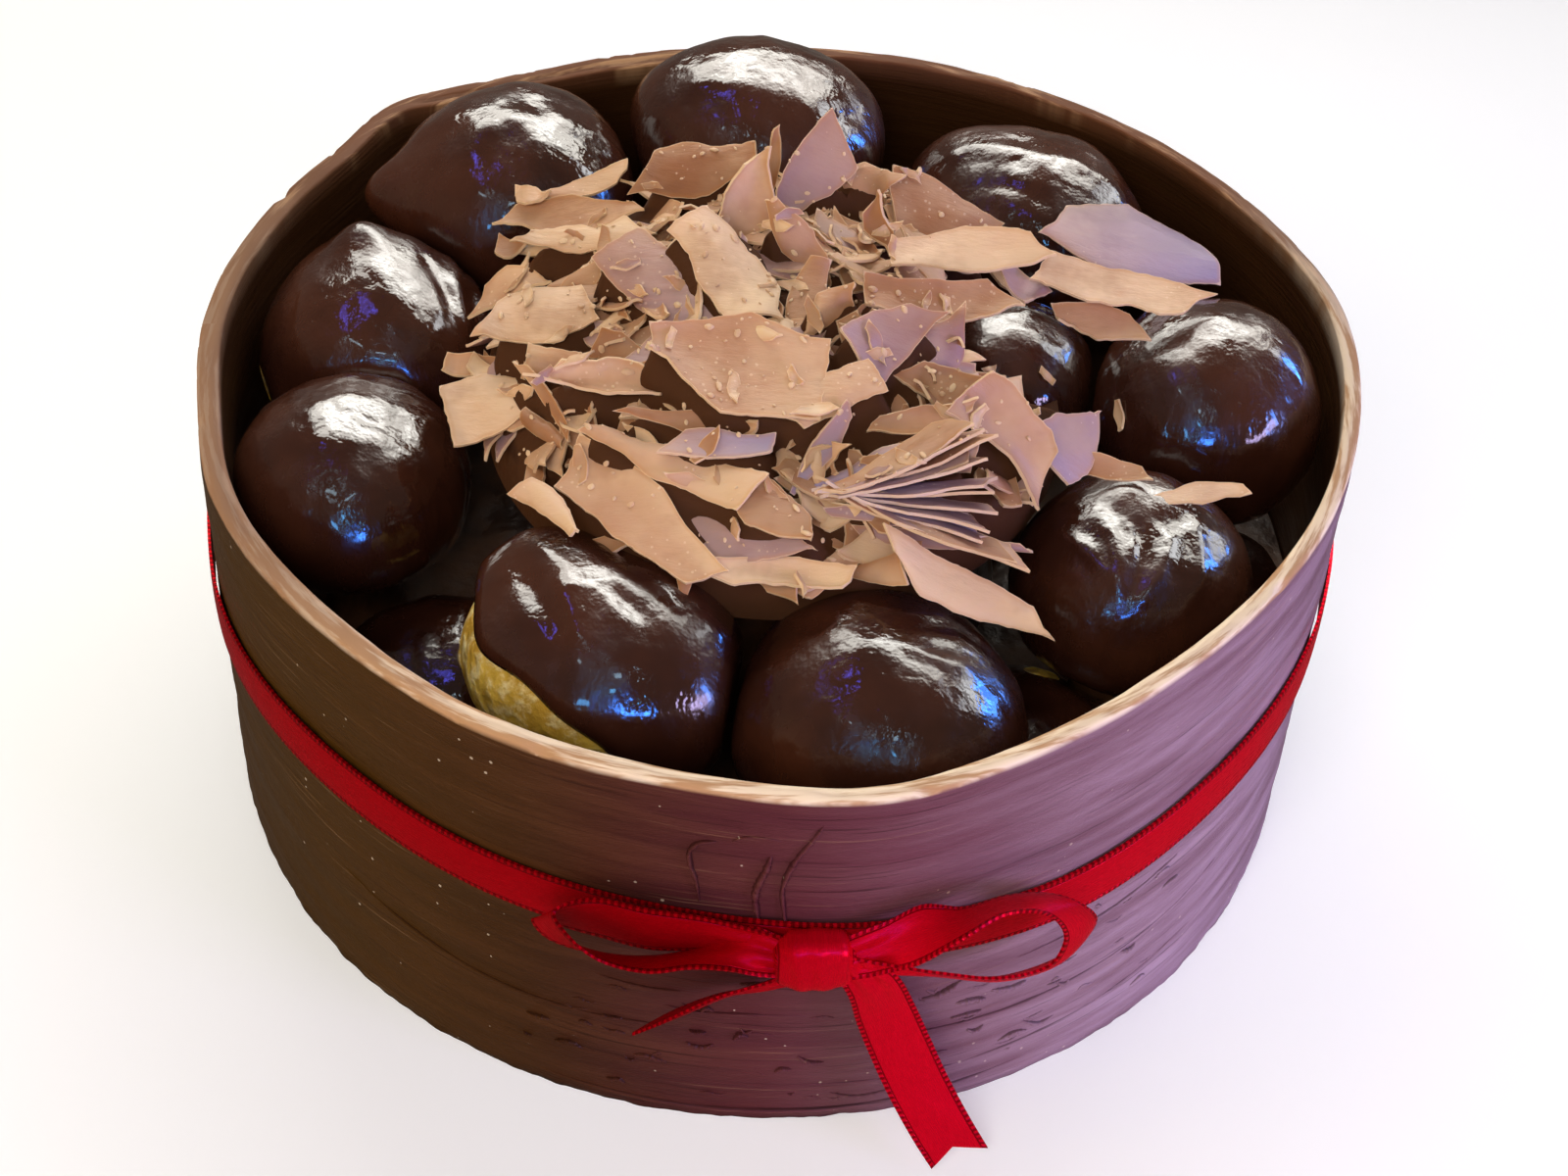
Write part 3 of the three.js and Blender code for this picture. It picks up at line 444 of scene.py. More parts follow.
class Effects:
    """The effects that several finishes share, each a node group made once."""

    def __init__(self) -> None:
        """Makes the groups."""
        self.specks = self._specks()
        self.mottle = self._mottle()
        self.scrape = self._scrape()

    @staticmethod
    def _start(name: str, inputs: Sequence[tuple[str, str, float]],
               outputs: Sequence[tuple[str, str]]) -> tuple:
        """Starts a group with named sockets.

        Args:
            name: the group's name.
            inputs: name, socket kind and value of each input.
            outputs: name and socket kind of each output.

        Returns:
            The group, a Shader on it, and its input and output nodes.
        """
        tree = bpy.data.node_groups.new(name, "ShaderNodeTree")
        for socket, kind, value in inputs:
            made = tree.interface.new_socket(socket, in_out="INPUT", socket_type="NodeSocket" + kind)
            if kind == "Float":
                made.default_value = value
        for socket, kind in outputs:
            tree.interface.new_socket(socket, in_out="OUTPUT", socket_type="NodeSocket" + kind)
        return tree, Shader(tree), tree.nodes.new("NodeGroupInput"), tree.nodes.new("NodeGroupOutput")

    def _specks(self) -> Tree:
        """Small scattered specks, as crumbs, bloom or pits."""
        tree, shader, given, out = self._start(
            "Specks", [("Vector", "Vector", 0.0), ("Scale", "Float", 300.0), ("Size", "Float", 0.2)],
            [("Mask", "Float")])
        near = shader.cells(given.outputs["Vector"], given.outputs["Scale"])
        few = shader.ranged(shader.noise(given.outputs["Vector"], 60.0, 2.0), 0.45, 0.62)
        size = shader.times(given.outputs["Size"], few)
        shader.feed(out.inputs["Mask"], shader.math("LESS_THAN", near, size))
        return tree

    def _mottle(self) -> Tree:
        """Two scales of soft lumps, as a mask and a height."""
        tree, shader, given, out = self._start(
            "Mottle", [("Vector", "Vector", 0.0), ("Large", "Float", 40.0), ("Small", "Float", 300.0)],
            [("Mask", "Float"), ("Height", "Float")])
        layers = []
        for socket, detail in (("Large", 3.0), ("Small", 4.0)):
            layers.append(shader.noise(given.outputs["Vector"], given.outputs[socket], detail))
        shader.feed(out.inputs["Mask"], shader.ranged(layers[0], 0.35, 0.65))
        small = shader.times(layers[1], 0.35)
        shader.feed(out.inputs["Height"], shader.math("ADD", layers[0], small))
        return tree

    def _scrape(self) -> Tree:
        """Fine lines side by side, as a blade or a smoothed strip leaves them."""
        tree, shader, given, out = self._start(
            "Scrape", [("Vector", "Vector", 0.0), ("Scale", "Float", 1.0)], [("Lines", "Float")])
        lines = shader.noise(given.outputs["Vector"], given.outputs["Scale"], 5.0, 0.62)
        shader.feed(out.inputs["Lines"], lines)
        return tree


class Finish:
    """A finish on one Principled shader. Each kind of surface below adds its own nodes."""

    def __init__(self, name: str, **values: object) -> None:
        """Makes a material with plain values on its shader's own sockets.

        Args:
            name: the material's name.
            values: shader inputs, with _ for each space.
        """
        self.material = bpy.data.materials.new(name)
        self.material.use_nodes = True
        self.shader = Shader(self.material.node_tree)
        self.surface = self.material.node_tree.nodes["Principled BSDF"]
        for key, value in values.items():
            self.set(key, value)

    def set(self, key: str, value: object) -> None:
        """Feeds one input of the shader."""
        name = key.replace("_", " ").title().replace("Ior", "IOR")
        self.shader.feed(self.surface.inputs[name], value)


@dataclass(frozen=True)
class WallChocolate:
    """Dark chocolate that was smoothed on a strip: streaked, scratched and a little bloomed, with painted
    light: an olive cast on the left and a plum and lilac sheen on the right front.
    """

    dark: Colour = (0.032, 0.0090, 0.0040)
    brown: Colour = (0.066, 0.0210, 0.0075)
    # painted light: an olive cast on the left side stands in for the warm light that falls there
    painted_warm_olive: Colour = (0.058, 0.0270, 0.0026)
    # painted reflection: the lilac and plum below are a sheen of cool light on the right front
    lilac: Colour = (0.42, 0.290, 0.380)
    painted_plum_sheen: Colour = (0.155, 0.030, 0.055)
    shade: Colour = (0.010, 0.0030, 0.0020)
    lip_side: Colour = (0.24, 0.130, 0.080)
    inside: Colour = (0.040, 0.0155, 0.0045)
    lip: Colour = (0.50, 0.285, 0.150)
    lip_light: Colour = (0.90, 0.74, 0.57)
    lip_back: Colour = (0.15, 0.060, 0.028)
    lip_lines: float = 620.0
    lip_runs: float = 5.0

    def build(self, effects: Effects) -> Material:
        """Makes the material. The mesh keeps layers named lip and outside."""
        finish = Finish("Wall chocolate", specular_ior_level=0.14, specular_tint=(1.0, 0.62, 0.50))
        s = finish.shader
        place = s.object_place()
        lines = s.group(effects.scrape, vector=s.object_place((1.0, 1.0, 9.0)),
                        scale=26.0).outputs["Lines"]
        fine = s.group(effects.scrape, vector=s.object_place((0.4, 0.4, 30.0)),
                       scale=60.0).outputs["Lines"]
        cloud = s.group(effects.mottle, vector=place, large=20.0, small=150.0)
        split = s.node("SeparateXYZ", {0: place})
        outside = s.layer("outside")
        left = s.ranged(split.outputs["X"], 0.0, -0.085)
        right = s.times(s.ranged(split.outputs["X"], 0.0, 0.078), outside)
        front = s.ranged(split.outputs["Y"], 0.02, -0.05)
        low = s.ranged(split.outputs["Z"], 0.055, 0.015)
        colour = s.mixed(s.ranged(lines, 0.3, 0.7), self.dark, self.brown)
        # painted light: the olive cast on the left side, for the warm light that falls there
        colour = s.mixed(s.times(left, 0.85), colour, self.painted_warm_olive)
        # painted reflection: a plum sheen on the front, growing towards +X
        painted_plum_sheen = s.times(s.ranged(split.outputs["X"], -0.04, 0.03), front)
        colour = s.mixed(s.times(painted_plum_sheen, 0.6), colour, self.painted_plum_sheen)
        # painted reflection: a lilac sheen on the right front, along the scrape lines and strongest low
        # down
        painted_lilac_sheen = s.times(s.times(right, front), s.ranged(lines, 0.25, 0.75, 0.40, 1.0))
        painted_lilac_sheen = s.times(painted_lilac_sheen, s.ranged(low, 0.0, 1.0, 0.75, 1.0))
        colour = s.mixed(painted_lilac_sheen, colour, self.lilac)
        streak = s.times(s.ranged(fine, 0.61, 0.68), s.ranged(cloud.outputs["Mask"], 0.2, 0.8))
        colour = s.mixed(s.times(streak, 0.17), colour, self.lip)
        colour = s.mixed(s.ranged(fine, 0.40, 0.33, 0.0, 0.5), colour, self.shade)
        colour = s.mixed(s.times(s.layer("flank"), 0.55), colour, self.shade)
        specks = s.group(effects.specks, vector=place, scale=300.0, size=0.09).outputs["Mask"]
        colour = s.mixed(s.times(specks, 0.35), colour, self.lip_light)
        within = s.mixed(s.times(s.ranged(fine, 0.35, 0.7), 0.5), self.inside, self.dark)
        colour = s.mixed(outside, within, colour)
        colour = s.mixed(s.layer("lip"), colour, self._lip(s, split))
        finish.set("base_color", colour)
        gloss = s.ranged(lines, 0.3, 0.7, 0.36, 0.52)
        finish.set("roughness", s.math("ADD", gloss, s.times(s.layer("lip"), 0.2)))
        height = s.math("ADD", lines, s.times(fine, 0.4))
        normal = s.bump(height, 0.45, 1.3)
        pits = s.times(s.cells(s.object_place((1.0, 1.0, 2.2)), 95.0, "SMOOTH_F1"), low)
        normal = s.bump(pits, 0.22, 1.4, normal)
        finish.set("normal", s.bump(cloud.outputs["Height"], 0.22, 0.8, normal))
        return finish.material

    def _lip(self, s: Shader, split: Node) -> Socket:
        """Colour of the cut lip: uneven lines along it, pale in front, tan at the left, brown behind."""
        place = s.object_place()
        behind = s.ranged(split.outputs["Y"], 0.0, 0.06)
        level = s.node("VectorMath", {0: place, 1: (1.0, 1.0, 0.0)}, operation="MULTIPLY")
        radius = s.node("VectorMath", {0: level.outputs[0]}, operation="LENGTH").outputs["Value"]
        bearing = s.math("ARCTAN2", split.outputs["Y"], split.outputs["X"])
        ring = {"X": s.times(radius, self.lip_lines), "Y": s.times(bearing, self.lip_runs)}
        lines = s.noise(s.node("CombineXYZ", ring).outputs[0], 1.0, 4.0, 0.6)
        tan_side = s.ranged(split.outputs["X"], 0.02, -0.09, 0.0, 0.45)
        pale = s.math("SUBTRACT", s.ranged(lines, 0.36, 0.58), tan_side)
        edge = s.mixed(s.ranged(pale, 0.0, 1.0), self.lip, self.lip_light)
        edge = s.mixed(s.ranged(split.outputs["X"], -0.045, -0.088, 0.0, 0.75), edge, self.lip_side)
        back = s.mixed(s.ranged(lines, 0.50, 0.68), self.lip_back, self.lip)
        return s.mixed(behind, edge, back)


@dataclass(frozen=True)
class Glaze:
    """Poured dark chocolate, set to a wet gloss."""

    dark: Colour = (0.030, 0.0088, 0.0050)
    warm: Colour = (0.052, 0.0158, 0.0080)

    def build(self, effects: Effects) -> Material:
        """Makes the material."""
        finish = Finish("Chocolate glaze")
        self.paint(finish.shader, finish.surface, effects)
        return finish.material

    def paint(self, s: Shader, surface: Node, effects: Effects) -> None:
        """Feeds one shader with the glaze.

        Args:
            s: the tree's short calls.
            surface: the Principled shader.
            effects: the shared effects.
        """
        surface.inputs["Specular IOR Level"].default_value = 0.5
        surface.inputs["Coat Weight"].default_value = 0.4
        surface.inputs["Coat Roughness"].default_value = 0.06
        place = s.object_place()
        cloud = s.group(effects.mottle, vector=place, large=60.0, small=420.0)
        s.feed(surface.inputs["Base Color"], s.mixed(cloud.outputs["Mask"], self.dark, self.warm))
        dull = s.noise(s.object_place((1.0, 1.0, 0.4)), 95.0, 5.0, 0.6)
        s.feed(surface.inputs["Roughness"], s.ranged(dull, 0.35, 0.65, 0.09, 0.32))
        ripple = s.bump(s.noise(s.object_place((1.0, 1.0, 0.45)), 120.0, 4.0, 0.6), 0.65, 1.3)
        pores = s.group(effects.specks, vector=place, scale=520.0, size=0.16).outputs["Mask"]
        dotted = s.bump(pores, 0.35, 0.15, ripple)
        s.feed(surface.inputs["Normal"], s.bump(cloud.outputs["Height"], 0.12, 0.5, dotted))


@dataclass(frozen=True)
class MilkChocolate:
    """Thin scraped milk chocolate with broken, paler edges, and painted light and shade: a glow through the
    thin edges, lilac for bluish light, and a dark core for the shade between leaves.
    """

    tan: Colour = (0.54, 0.295, 0.175)
    pale: Colour = (0.82, 0.595, 0.390)
    brown: Colour = (0.30, 0.128, 0.058)
    # painted light: lilac stands in for bluish light from the right falling on the shavings
    lilac: Colour = (0.29, 0.240, 0.400)
    # painted light: a rust glow where light shines through the thin broken edges
    painted_edge_glow: Colour = (0.50, 0.210, 0.050)
    # painted shade: the heap's core takes this colour, for the shade deep between the leaves
    deep: Colour = (0.070, 0.029, 0.014)
    crumb: Colour = (0.86, 0.68, 0.50)

    def build(self, effects: Effects) -> Material:
        """Makes the material. The mesh keeps layers named rim and tint, and one for how much painted bluish
        light shows as lilac.
        """
        finish = Finish("Milk chocolate shavings", specular_tint=(1.0, 0.85, 0.75), subsurface_weight=0.12,
                        subsurface_scale=0.002)
        s = finish.shader
        finish.surface.inputs["Subsurface Radius"].default_value = (1.0, 0.45, 0.2)
        place = s.object_place()
        tint = s.layer("tint")
        cloud = s.group(effects.mottle, vector=place, large=90.0, small=600.0)
        # painted shade: the core (tint -1) takes the deep colour of the shade between leaves
        colour = s.mixed(s.ranged(tint, -1.0, 0.0), self.deep, self.brown)
        colour = s.mixed(s.ranged(tint, 0.15, 0.85), colour, self.tan)
        colour = s.mixed(s.ranged(tint, 0.5, 1.0, 0.0, 0.75), colour, self.pale)
        shaving = s.ranged(tint, -0.9, 0.0)
        cloudy = s.times(shaving, 0.25)
        colour = s.mixed(s.times(cloud.outputs["Mask"], cloudy), colour, self.pale)
        stain = s.times(s.ranged(s.noise(place, 55.0, 4.0, 0.6), 0.50, 0.70, 0.0, 0.45), shaving)
        colour = s.mixed(stain, colour, self.brown)
        # painted light: a lilac tint for the bluish light that falls on some shavings
        colour = s.mixed(s.layer("painted_cool_light"), colour, self.lilac)
        rim = s.layer("rim")
        # painted light through the thin edge: a rust band inside it, then a pale line at the very edge that
        # is partly the paler break and partly painted light
        colour = s.mixed(s.ranged(rim, 0.15, 0.75, 0.0, 0.25), colour, self.painted_edge_glow)
        colour = s.mixed(s.ranged(rim, 0.82, 1.0, 0.0, 0.6), colour, self.pale)
        specks = s.group(effects.specks, vector=place, scale=760.0, size=0.20).outputs["Mask"]
        specks = s.times(specks, s.ranged(tint, 0.0, 0.3))
        colour = s.mixed(s.times(specks, 0.3), colour, self.crumb)
        finish.set("base_color", colour)
        finish.set("roughness", s.ranged(cloud.outputs["Mask"], 0.0, 1.0, 0.42, 0.6))
        finish.set("specular_ior_level", s.ranged(tint, -1.0, 0.2, 0.02, 0.25))
        scrape = s.group(effects.scrape, vector=s.object_place((1.0, 3.5, 1.0)),
                         scale=260.0).outputs["Lines"]
        normal = s.bump(scrape, 0.55, 0.35)
        finish.set("normal", s.bump(cloud.outputs["Height"], 0.25, 0.35, normal))
        return finish.material


@dataclass(frozen=True)
class Choux:
    """Baked choux pastry, golden with browner blisters."""

    gold: Colour = (0.86, 0.590, 0.090)
    brown: Colour = (0.56, 0.325, 0.040)
    pale: Colour = (0.95, 0.800, 0.400)

    def build(self, effects: Effects) -> Material:
        """Makes the material."""
        finish = Finish("Choux pastry")
        self.paint(finish.shader, finish.surface, effects)
        return finish.material

    def paint(self, s: Shader, surface: Node, effects: Effects) -> None:
        """Feeds one shader with the pastry.

        Args:
            s: the tree's short calls.
            surface: the Principled shader.
            effects: the shared effects.
        """
        surface.inputs["Specular IOR Level"].default_value = 0.35
        surface.inputs["Subsurface Weight"].default_value = 0.08
        surface.inputs["Subsurface Scale"].default_value = 0.002
        surface.inputs["Subsurface Radius"].default_value = (1.0, 0.5, 0.2)
        place = s.object_place()
        cloud = s.group(effects.mottle, vector=place, large=95.0, small=520.0)
        colour = s.mixed(cloud.outputs["Mask"], self.brown, self.gold)
        colour = s.mixed(s.ranged(s.noise(place, 260.0, 5.0, 0.7), 0.46, 0.66, 0.0, 0.85), colour,
                         self.pale)
        s.feed(surface.inputs["Base Color"], colour)
        s.feed(surface.inputs["Roughness"], s.ranged(cloud.outputs["Mask"], 0.0, 1.0, 0.45, 0.7))
        blister = s.bump(s.cells(place, 250.0), 0.8, 1.0)
        s.feed(surface.inputs["Normal"], s.bump(cloud.outputs["Height"], 1.0, 2.4, blister))


@dataclass(frozen=True)
class PartGlazed:
    """Glaze with bare choux where the mesh's layer named bare says so."""

    def build(self, effects: Effects) -> Material:
        """Makes the material."""
        finish = Finish("Part-glazed choux")
        s = finish.shader
        Glaze().paint(s, finish.surface, effects)
        pastry = s.node("BsdfPrincipled")
        Choux().paint(s, pastry, effects)
        bare = s.ranged(s.layer("bare"), 0.50, 0.56)
        mixer = s.node("MixShader", {0: bare, 1: finish.surface.outputs[0], 2: pastry.outputs[0]})
        s.feed(finish.material.node_tree.nodes["Material Output"].inputs["Surface"], mixer.outputs[0])
        return finish.material


@dataclass(frozen=True)
class DarkPile:
    """The dark crumb and chocolate that lies deep between the buns."""

    dark: Colour = (0.026, 0.010, 0.005)
    brown: Colour = (0.110, 0.046, 0.018)

    def build(self, effects: Effects) -> Material:
        """Makes the material."""
        finish = Finish("Dark pile", specular_ior_level=0.4)
        s = finish.shader
        place = s.object_place()
        cloud = s.group(effects.mottle, vector=place, large=60.0, small=420.0)
        finish.set("base_color", s.mixed(cloud.outputs["Mask"], self.dark, self.brown))
        finish.set("roughness", s.ranged(cloud.outputs["Mask"], 0.0, 1.0, 0.4, 0.75))
        finish.set("normal", s.bump(cloud.outputs["Height"], 0.7, 1.6))
        return finish.material


@dataclass(frozen=True)
class Satin:
    """Crimson satin ribbon, painted brighter towards +X for the light that falls there. U runs along it in
    millimetres, V across it from 0 to 1.
    """

    red: Colour = (0.50, 0.0008, 0.0070)
    # painted light: a brighter red for the side of the ribbon where more light falls
    painted_lit_red: Colour = (0.92, 0.0025, 0.0220)
    deep: Colour = (0.11, 0.0003, 0.0014)
    selvedge: float = 0.085
    stitch_pitch: float = 1.15

    def build(self, effects: Effects) -> Material:
        """Makes the material."""
        finish = Finish("Satin ribbon", metallic=0.5, specular_ior_level=0.10,
                        specular_tint=(1.0, 0.10, 0.25), anisotropic=0.6)
        s = finish.shader
        coordinate = s.node("TexCoord")
        split = s.node("SeparateXYZ")
        s.feed(split.inputs[0], coordinate.outputs["UV"])
        along, across = split.outputs["X"], split.outputs["Y"]
        from_edge = s.math("MINIMUM", across, s.math("SUBTRACT", 1.0, across))
        border = s.ranged(from_edge, self.selvedge * 0.7, self.selvedge, 1.0, 0.0)
        stitches = s.math("SINE", s.times(along, 2.0 * math.pi / self.stitch_pitch))
        stitch = s.times(border, s.ranged(stitches, -0.6, 0.6))
        threads = s.node("Mapping")
        s.feed(threads.inputs["Vector"], coordinate.outputs["UV"])
        threads.inputs["Scale"].default_value = (0.35, 90.0, 1.0)
        weave = s.group(effects.scrape, vector=threads.outputs["Vector"], scale=1.0).outputs["Lines"]
        place = s.node("SeparateXYZ")
        s.feed(place.inputs[0], s.object_place())
        # painted light: the ribbon brightens towards +X, where more light falls
        colour = s.mixed(s.ranged(place.outputs["X"], -0.012, 0.030), self.red, self.painted_lit_red)
        colour = s.mixed(s.ranged(weave, 0.35, 0.65, 0.0, 0.35), colour, self.deep)
        colour = s.mixed(s.times(stitch, 0.75), colour, self.deep)
        beside = s.math("ABSOLUTE", s.math("SUBTRACT", from_edge, self.selvedge))
        groove = s.ranged(beside, 0.0, 0.018, 1.0, 0.0)
        colour = s.mixed(s.times(groove, 0.8), colour, self.deep)
        finish.set("base_color", colour)
        finish.set("roughness", s.ranged(weave, 0.3, 0.7, 0.22, 0.36))
        height = s.math("SUBTRACT", s.times(weave, 0.35), groove)
        height = s.math("ADD", height, s.times(stitch, 0.8))
        finish.set("normal", s.bump(height, 0.7, 0.2))
        return finish.material


@dataclass(frozen=True)
class Floor:
    """A plain pale floor."""

    colour: Colour = (0.79, 0.81, 0.83)
    glow: float = 0.34

    def build(self) -> Material:
        """Makes the material."""
        colour = (*self.colour, 1.0)
        return Finish("Pale floor", base_color=colour, roughness=0.9, emission_color=colour,
                      emission_strength=self.glow).material


class Paints:
    """Every material of the cake."""

    def __init__(self) -> None:
        """Makes the shared effects and then the materials."""
        effects = Effects()
        self.wall = WallChocolate().build(effects)
        self.glaze = Glaze().build(effects)
        self.milk = MilkChocolate().build(effects)
        self.choux = Choux().build(effects)
        self.part_glazed = PartGlazed().build(effects)
        self.pile = DarkPile().build(effects)
        self.satin = Satin().build(effects)
        self.floor = Floor().build()


# ---- collar


@dataclass(frozen=True)
class CollarShape:
    """The bent wall of chocolate: where its two faces stand at each bearing and height."""

    radius: float = 100.0
    height: float = 83.6
    knee: float = 42.0
    lean_power: float = 1.5
    front: float = 3.1
    left: float = 3.9
    right: float = 2.9
    lap_from: float = 104.0
    lap_to: float = 133.0
    lap_ramp: float = 5.0
    lap_extra: float = 1.6
    pushes: tuple[Bell, ...] = (
        Bell(137, 8, 4.5), Bell(150, 30, 0.7), Bell(98, 30, -2.4), Bell(15, 18, 3.2), Bell(45, 14, 1.0),
        Bell(-42, 24, -3.4), Bell(-80, 12, 2.9), Bell(-132, 16, -1.7), Bell(-168, 10, -1.3),
    )

    def lean(self, height: Array) -> Array:
        """How much of the rim's push shows at a height, in two straight runs."""
        at_knee = (self.knee / self.height) ** self.lean_power
        low = at_knee * np.asarray(height) / self.knee
        high = at_knee + (1.0 - at_knee) * (np.asarray(height) - self.knee) / (self.height - self.knee)
        return np.where(np.asarray(height) < self.knee, low, high)

    def outer(self, bearing: Array, height: Array) -> Array:
        """Radius of the outer face."""
        return self.radius + sum_of_bells(bearing, self.pushes) * self.lean(height)

    def in_lap(self, bearing: Array) -> Array:
        """1 where the strip's two ends lie over each other, and 0 elsewhere."""
        turn = np.asarray(bearing) % 360.0
        rise = smooth_step(self.lap_from - self.lap_ramp, self.lap_from, turn)
        return rise - smooth_step(self.lap_to, self.lap_to + self.lap_ramp, turn)

    def thickness(self, bearing: Array) -> Array:
        """Thickness of the wall, or of both ends of the strip where they overlap."""
        side = np.cos(np.radians(bearing))
        across = np.where(side < 0, self.left, self.right)
        return self.front + (across - self.front) * np.abs(side) + self.lap_extra * self.in_lap(bearing)

    def inner(self, bearing: Array, height: Array) -> Array:
        """Radius of the inner face."""
        return self.outer(bearing, height) - self.thickness(bearing)


@dataclass(frozen=True)
class Ridge:
    """A thin raised line of chocolate on the outside of the collar, through bearings and heights."""

    places: tuple[tuple[float, float], ...]
    width: float = 0.9
    rise: float = 0.4


@dataclass(frozen=True)
class RidgePiece:
    """Models the runs, worms and trowel lines that stand out on the collar."""

    shape: CollarShape
    seed: int = 17
    worms: int = 56
    stand: float = 1.8
    broaden: float = 1.05
    runs: tuple[Ridge, ...] = (
        Ridge(((-92.6, 72.2), (-94.0, 71.6), (-94.9, 69.5), (-94.9, 66.5), (-94.4, 63.0), (-94.0, 57.0)),
              0.8, 0.45),
        Ridge(((-91.4, 72.6), (-90.4, 74.0), (-88.8, 74.5), (-87.0, 74.0)), 0.5, 0.2),
        Ridge(((-88.0, 70.2), (-88.4, 67.0), (-88.9, 64.0), (-89.2, 61.0), (-88.8, 53.5)), 1.3, 0.6),
        Ridge(((-83.8, 78.2), (-84.8, 74.4), (-85.7, 71.0), (-86.4, 67.5), (-86.9, 63.0), (-86.7, 57.5),
               (-86.3, 52.0)), 0.9, 0.5),
        Ridge(((-135.0, 28.0), (-124.0, 24.6), (-112.4, 22.6), (-104.4, 22.8), (-98.2, 23.6)), 0.9, 0.22),
        Ridge(((-97.0, 29.4), (-94.8, 29.0), (-89.6, 29.6), (-82.8, 29.8)), 0.7, 0.3),
        Ridge(((-104.0, 34.0), (-99.0, 33.2), (-95.5, 33.6)), 0.5, 0.2),
        Ridge(((-73.6, 30.3), (-71.4, 30.9), (-69.4, 32.6)), 1.1, 0.5),
        Ridge(((-69.8, 26.6), (-68.0, 26.4), (-66.6, 25.4)), 1.3, 0.5),
        Ridge(((-66.2, 27.2), (-64.0, 26.2), (-62.2, 26.2)), 1.1, 0.45),
        Ridge(((-62.2, 15.2), (-60.0, 12.4), (-58.2, 12.6)), 0.8, 0.35),
        Ridge(((-81.4, 7.2), (-78.6, 5.4), (-75.4, 5.8)), 0.9, 0.4),
        Ridge(((-86.6, 13.6), (-86.0, 14.8), (-85.0, 14.4)), 1.0, 0.45),
        Ridge(((-84.6, 18.2), (-83.4, 16.6), (-82.0, 16.2)), 0.8, 0.4),
        Ridge(((-93.8, 28.2), (-93.2, 30.4), (-92.4, 29.6)), 0.9, 0.4),
        Ridge(((-90.6, 22.0), (-90.0, 24.0), (-89.2, 23.2)), 0.9, 0.4),
        Ridge(((-60.0, 4.6), (-75.0, 2.6), (-92.0, 2.2), (-110.0, 2.8)), 1.2, 0.3),
        Ridge(((-88.0, 10.2), (-70.0, 9.2), (-52.0, 10.6), (-38.0, 13.0)), 1.0, 0.25),
        Ridge(((-78.0, 21.6), (-62.0, 20.2), (-46.0, 22.0), (-36.0, 24.4)), 0.9, 0.25),
        Ridge(((-64.0, 33.6), (-54.0, 34.6), (-44.0, 37.0)), 0.7, 0.22),
    )

    def build(self, paints: Paints) -> Piece:
        """Models, paints and places every raised line as one piece."""
        draws = Draws(self.seed)
        ridges = list(self.runs)
        for _ in range(self.worms):
            at, height = draws.between(-112.0, -40.0), 5.0 + 33.0 * draws.next() ** 1.3
            length, bend = draws.between(0.8, 3.4), draws.between(-1.2, 1.2)
            places = tuple((at + length * (k / 3.0 - 0.5),
                            height + bend * (k / 3.0) * (1.0 - k / 3.0) * 3.0
                            + draws.between(-0.3, 0.3)) for k in range(4))
            ridges.append(Ridge(places, draws.between(0.5, 1.0), draws.between(0.15, 0.4)))
        pieces = [self._ridge(f"ridge_{i}", ridge, draws) for i, ridge in enumerate(ridges)]
        piece = Modeller.joined("ridges", pieces)
        Modeller.smooth(piece)
        Modeller.done(piece, paints.wall, "dark_chocolate", "chocolate_collar")
        return piece

    def _ridge(self, name: str, ridge: Ridge, draws: Draws, along: int = 48) -> Piece:
        """Models one raised line as a half-round strip on the wall."""
        piece = Modeller.grid(name, along, 8)
        unit = Modeller.read(piece)
        t, v = unit[:, 0] + 0.5, 2.0 * unit[:, 1]
        path = np.array([(*place, 0.0) for place in ridge.places], float)
        path[:, 0] *= self.shape.radius * math.pi / 180.0
        middle = spline(path, t)
        ahead = spline(path, np.clip(t + 0.01, 0, 1)) - spline(path, np.clip(t - 0.01, 0, 1))
        side = np.stack([-ahead[:, 1], ahead[:, 0]], axis=-1)
        side = side / np.linalg.norm(side, axis=1, keepdims=True)
        taper = np.sqrt(np.clip(4.0 * t * (1.0 - t), 0.0, 1.0))
        run = np.stack([t * 14.0, 0 * t, 0 * t], axis=-1)
        lumpy = 1.0 + 0.35 * noise_at(run, 1.0, draws.between(0, 60), 2)
        half = 0.5 * self.broaden * ridge.width * (0.25 + 0.75 * taper) * lumpy
        flat = middle[:, :2] + side * (v * half)[:, None]
        rise = self.stand * ridge.rise * taper * lumpy * np.sqrt(np.clip(1.0 - v * v, 0.0, 1.0))
        rise = rise - 0.25 * np.abs(v) ** 3 - 0.05
        bearing = flat[:, 0] * 180.0 / (math.pi * self.shape.radius)
        radius = self.shape.outer(bearing, flat[:, 1]) + rise
        Modeller.write(piece, around(bearing, radius, flat[:, 1]) * MM)
        Modeller.layer(piece, "lip", np.zeros(len(unit)))
        Modeller.layer(piece, "outside", np.ones(len(unit)))
        Modeller.layer(piece, "flank", smooth_step(0.35, 0.8, np.abs(v)))
        return piece


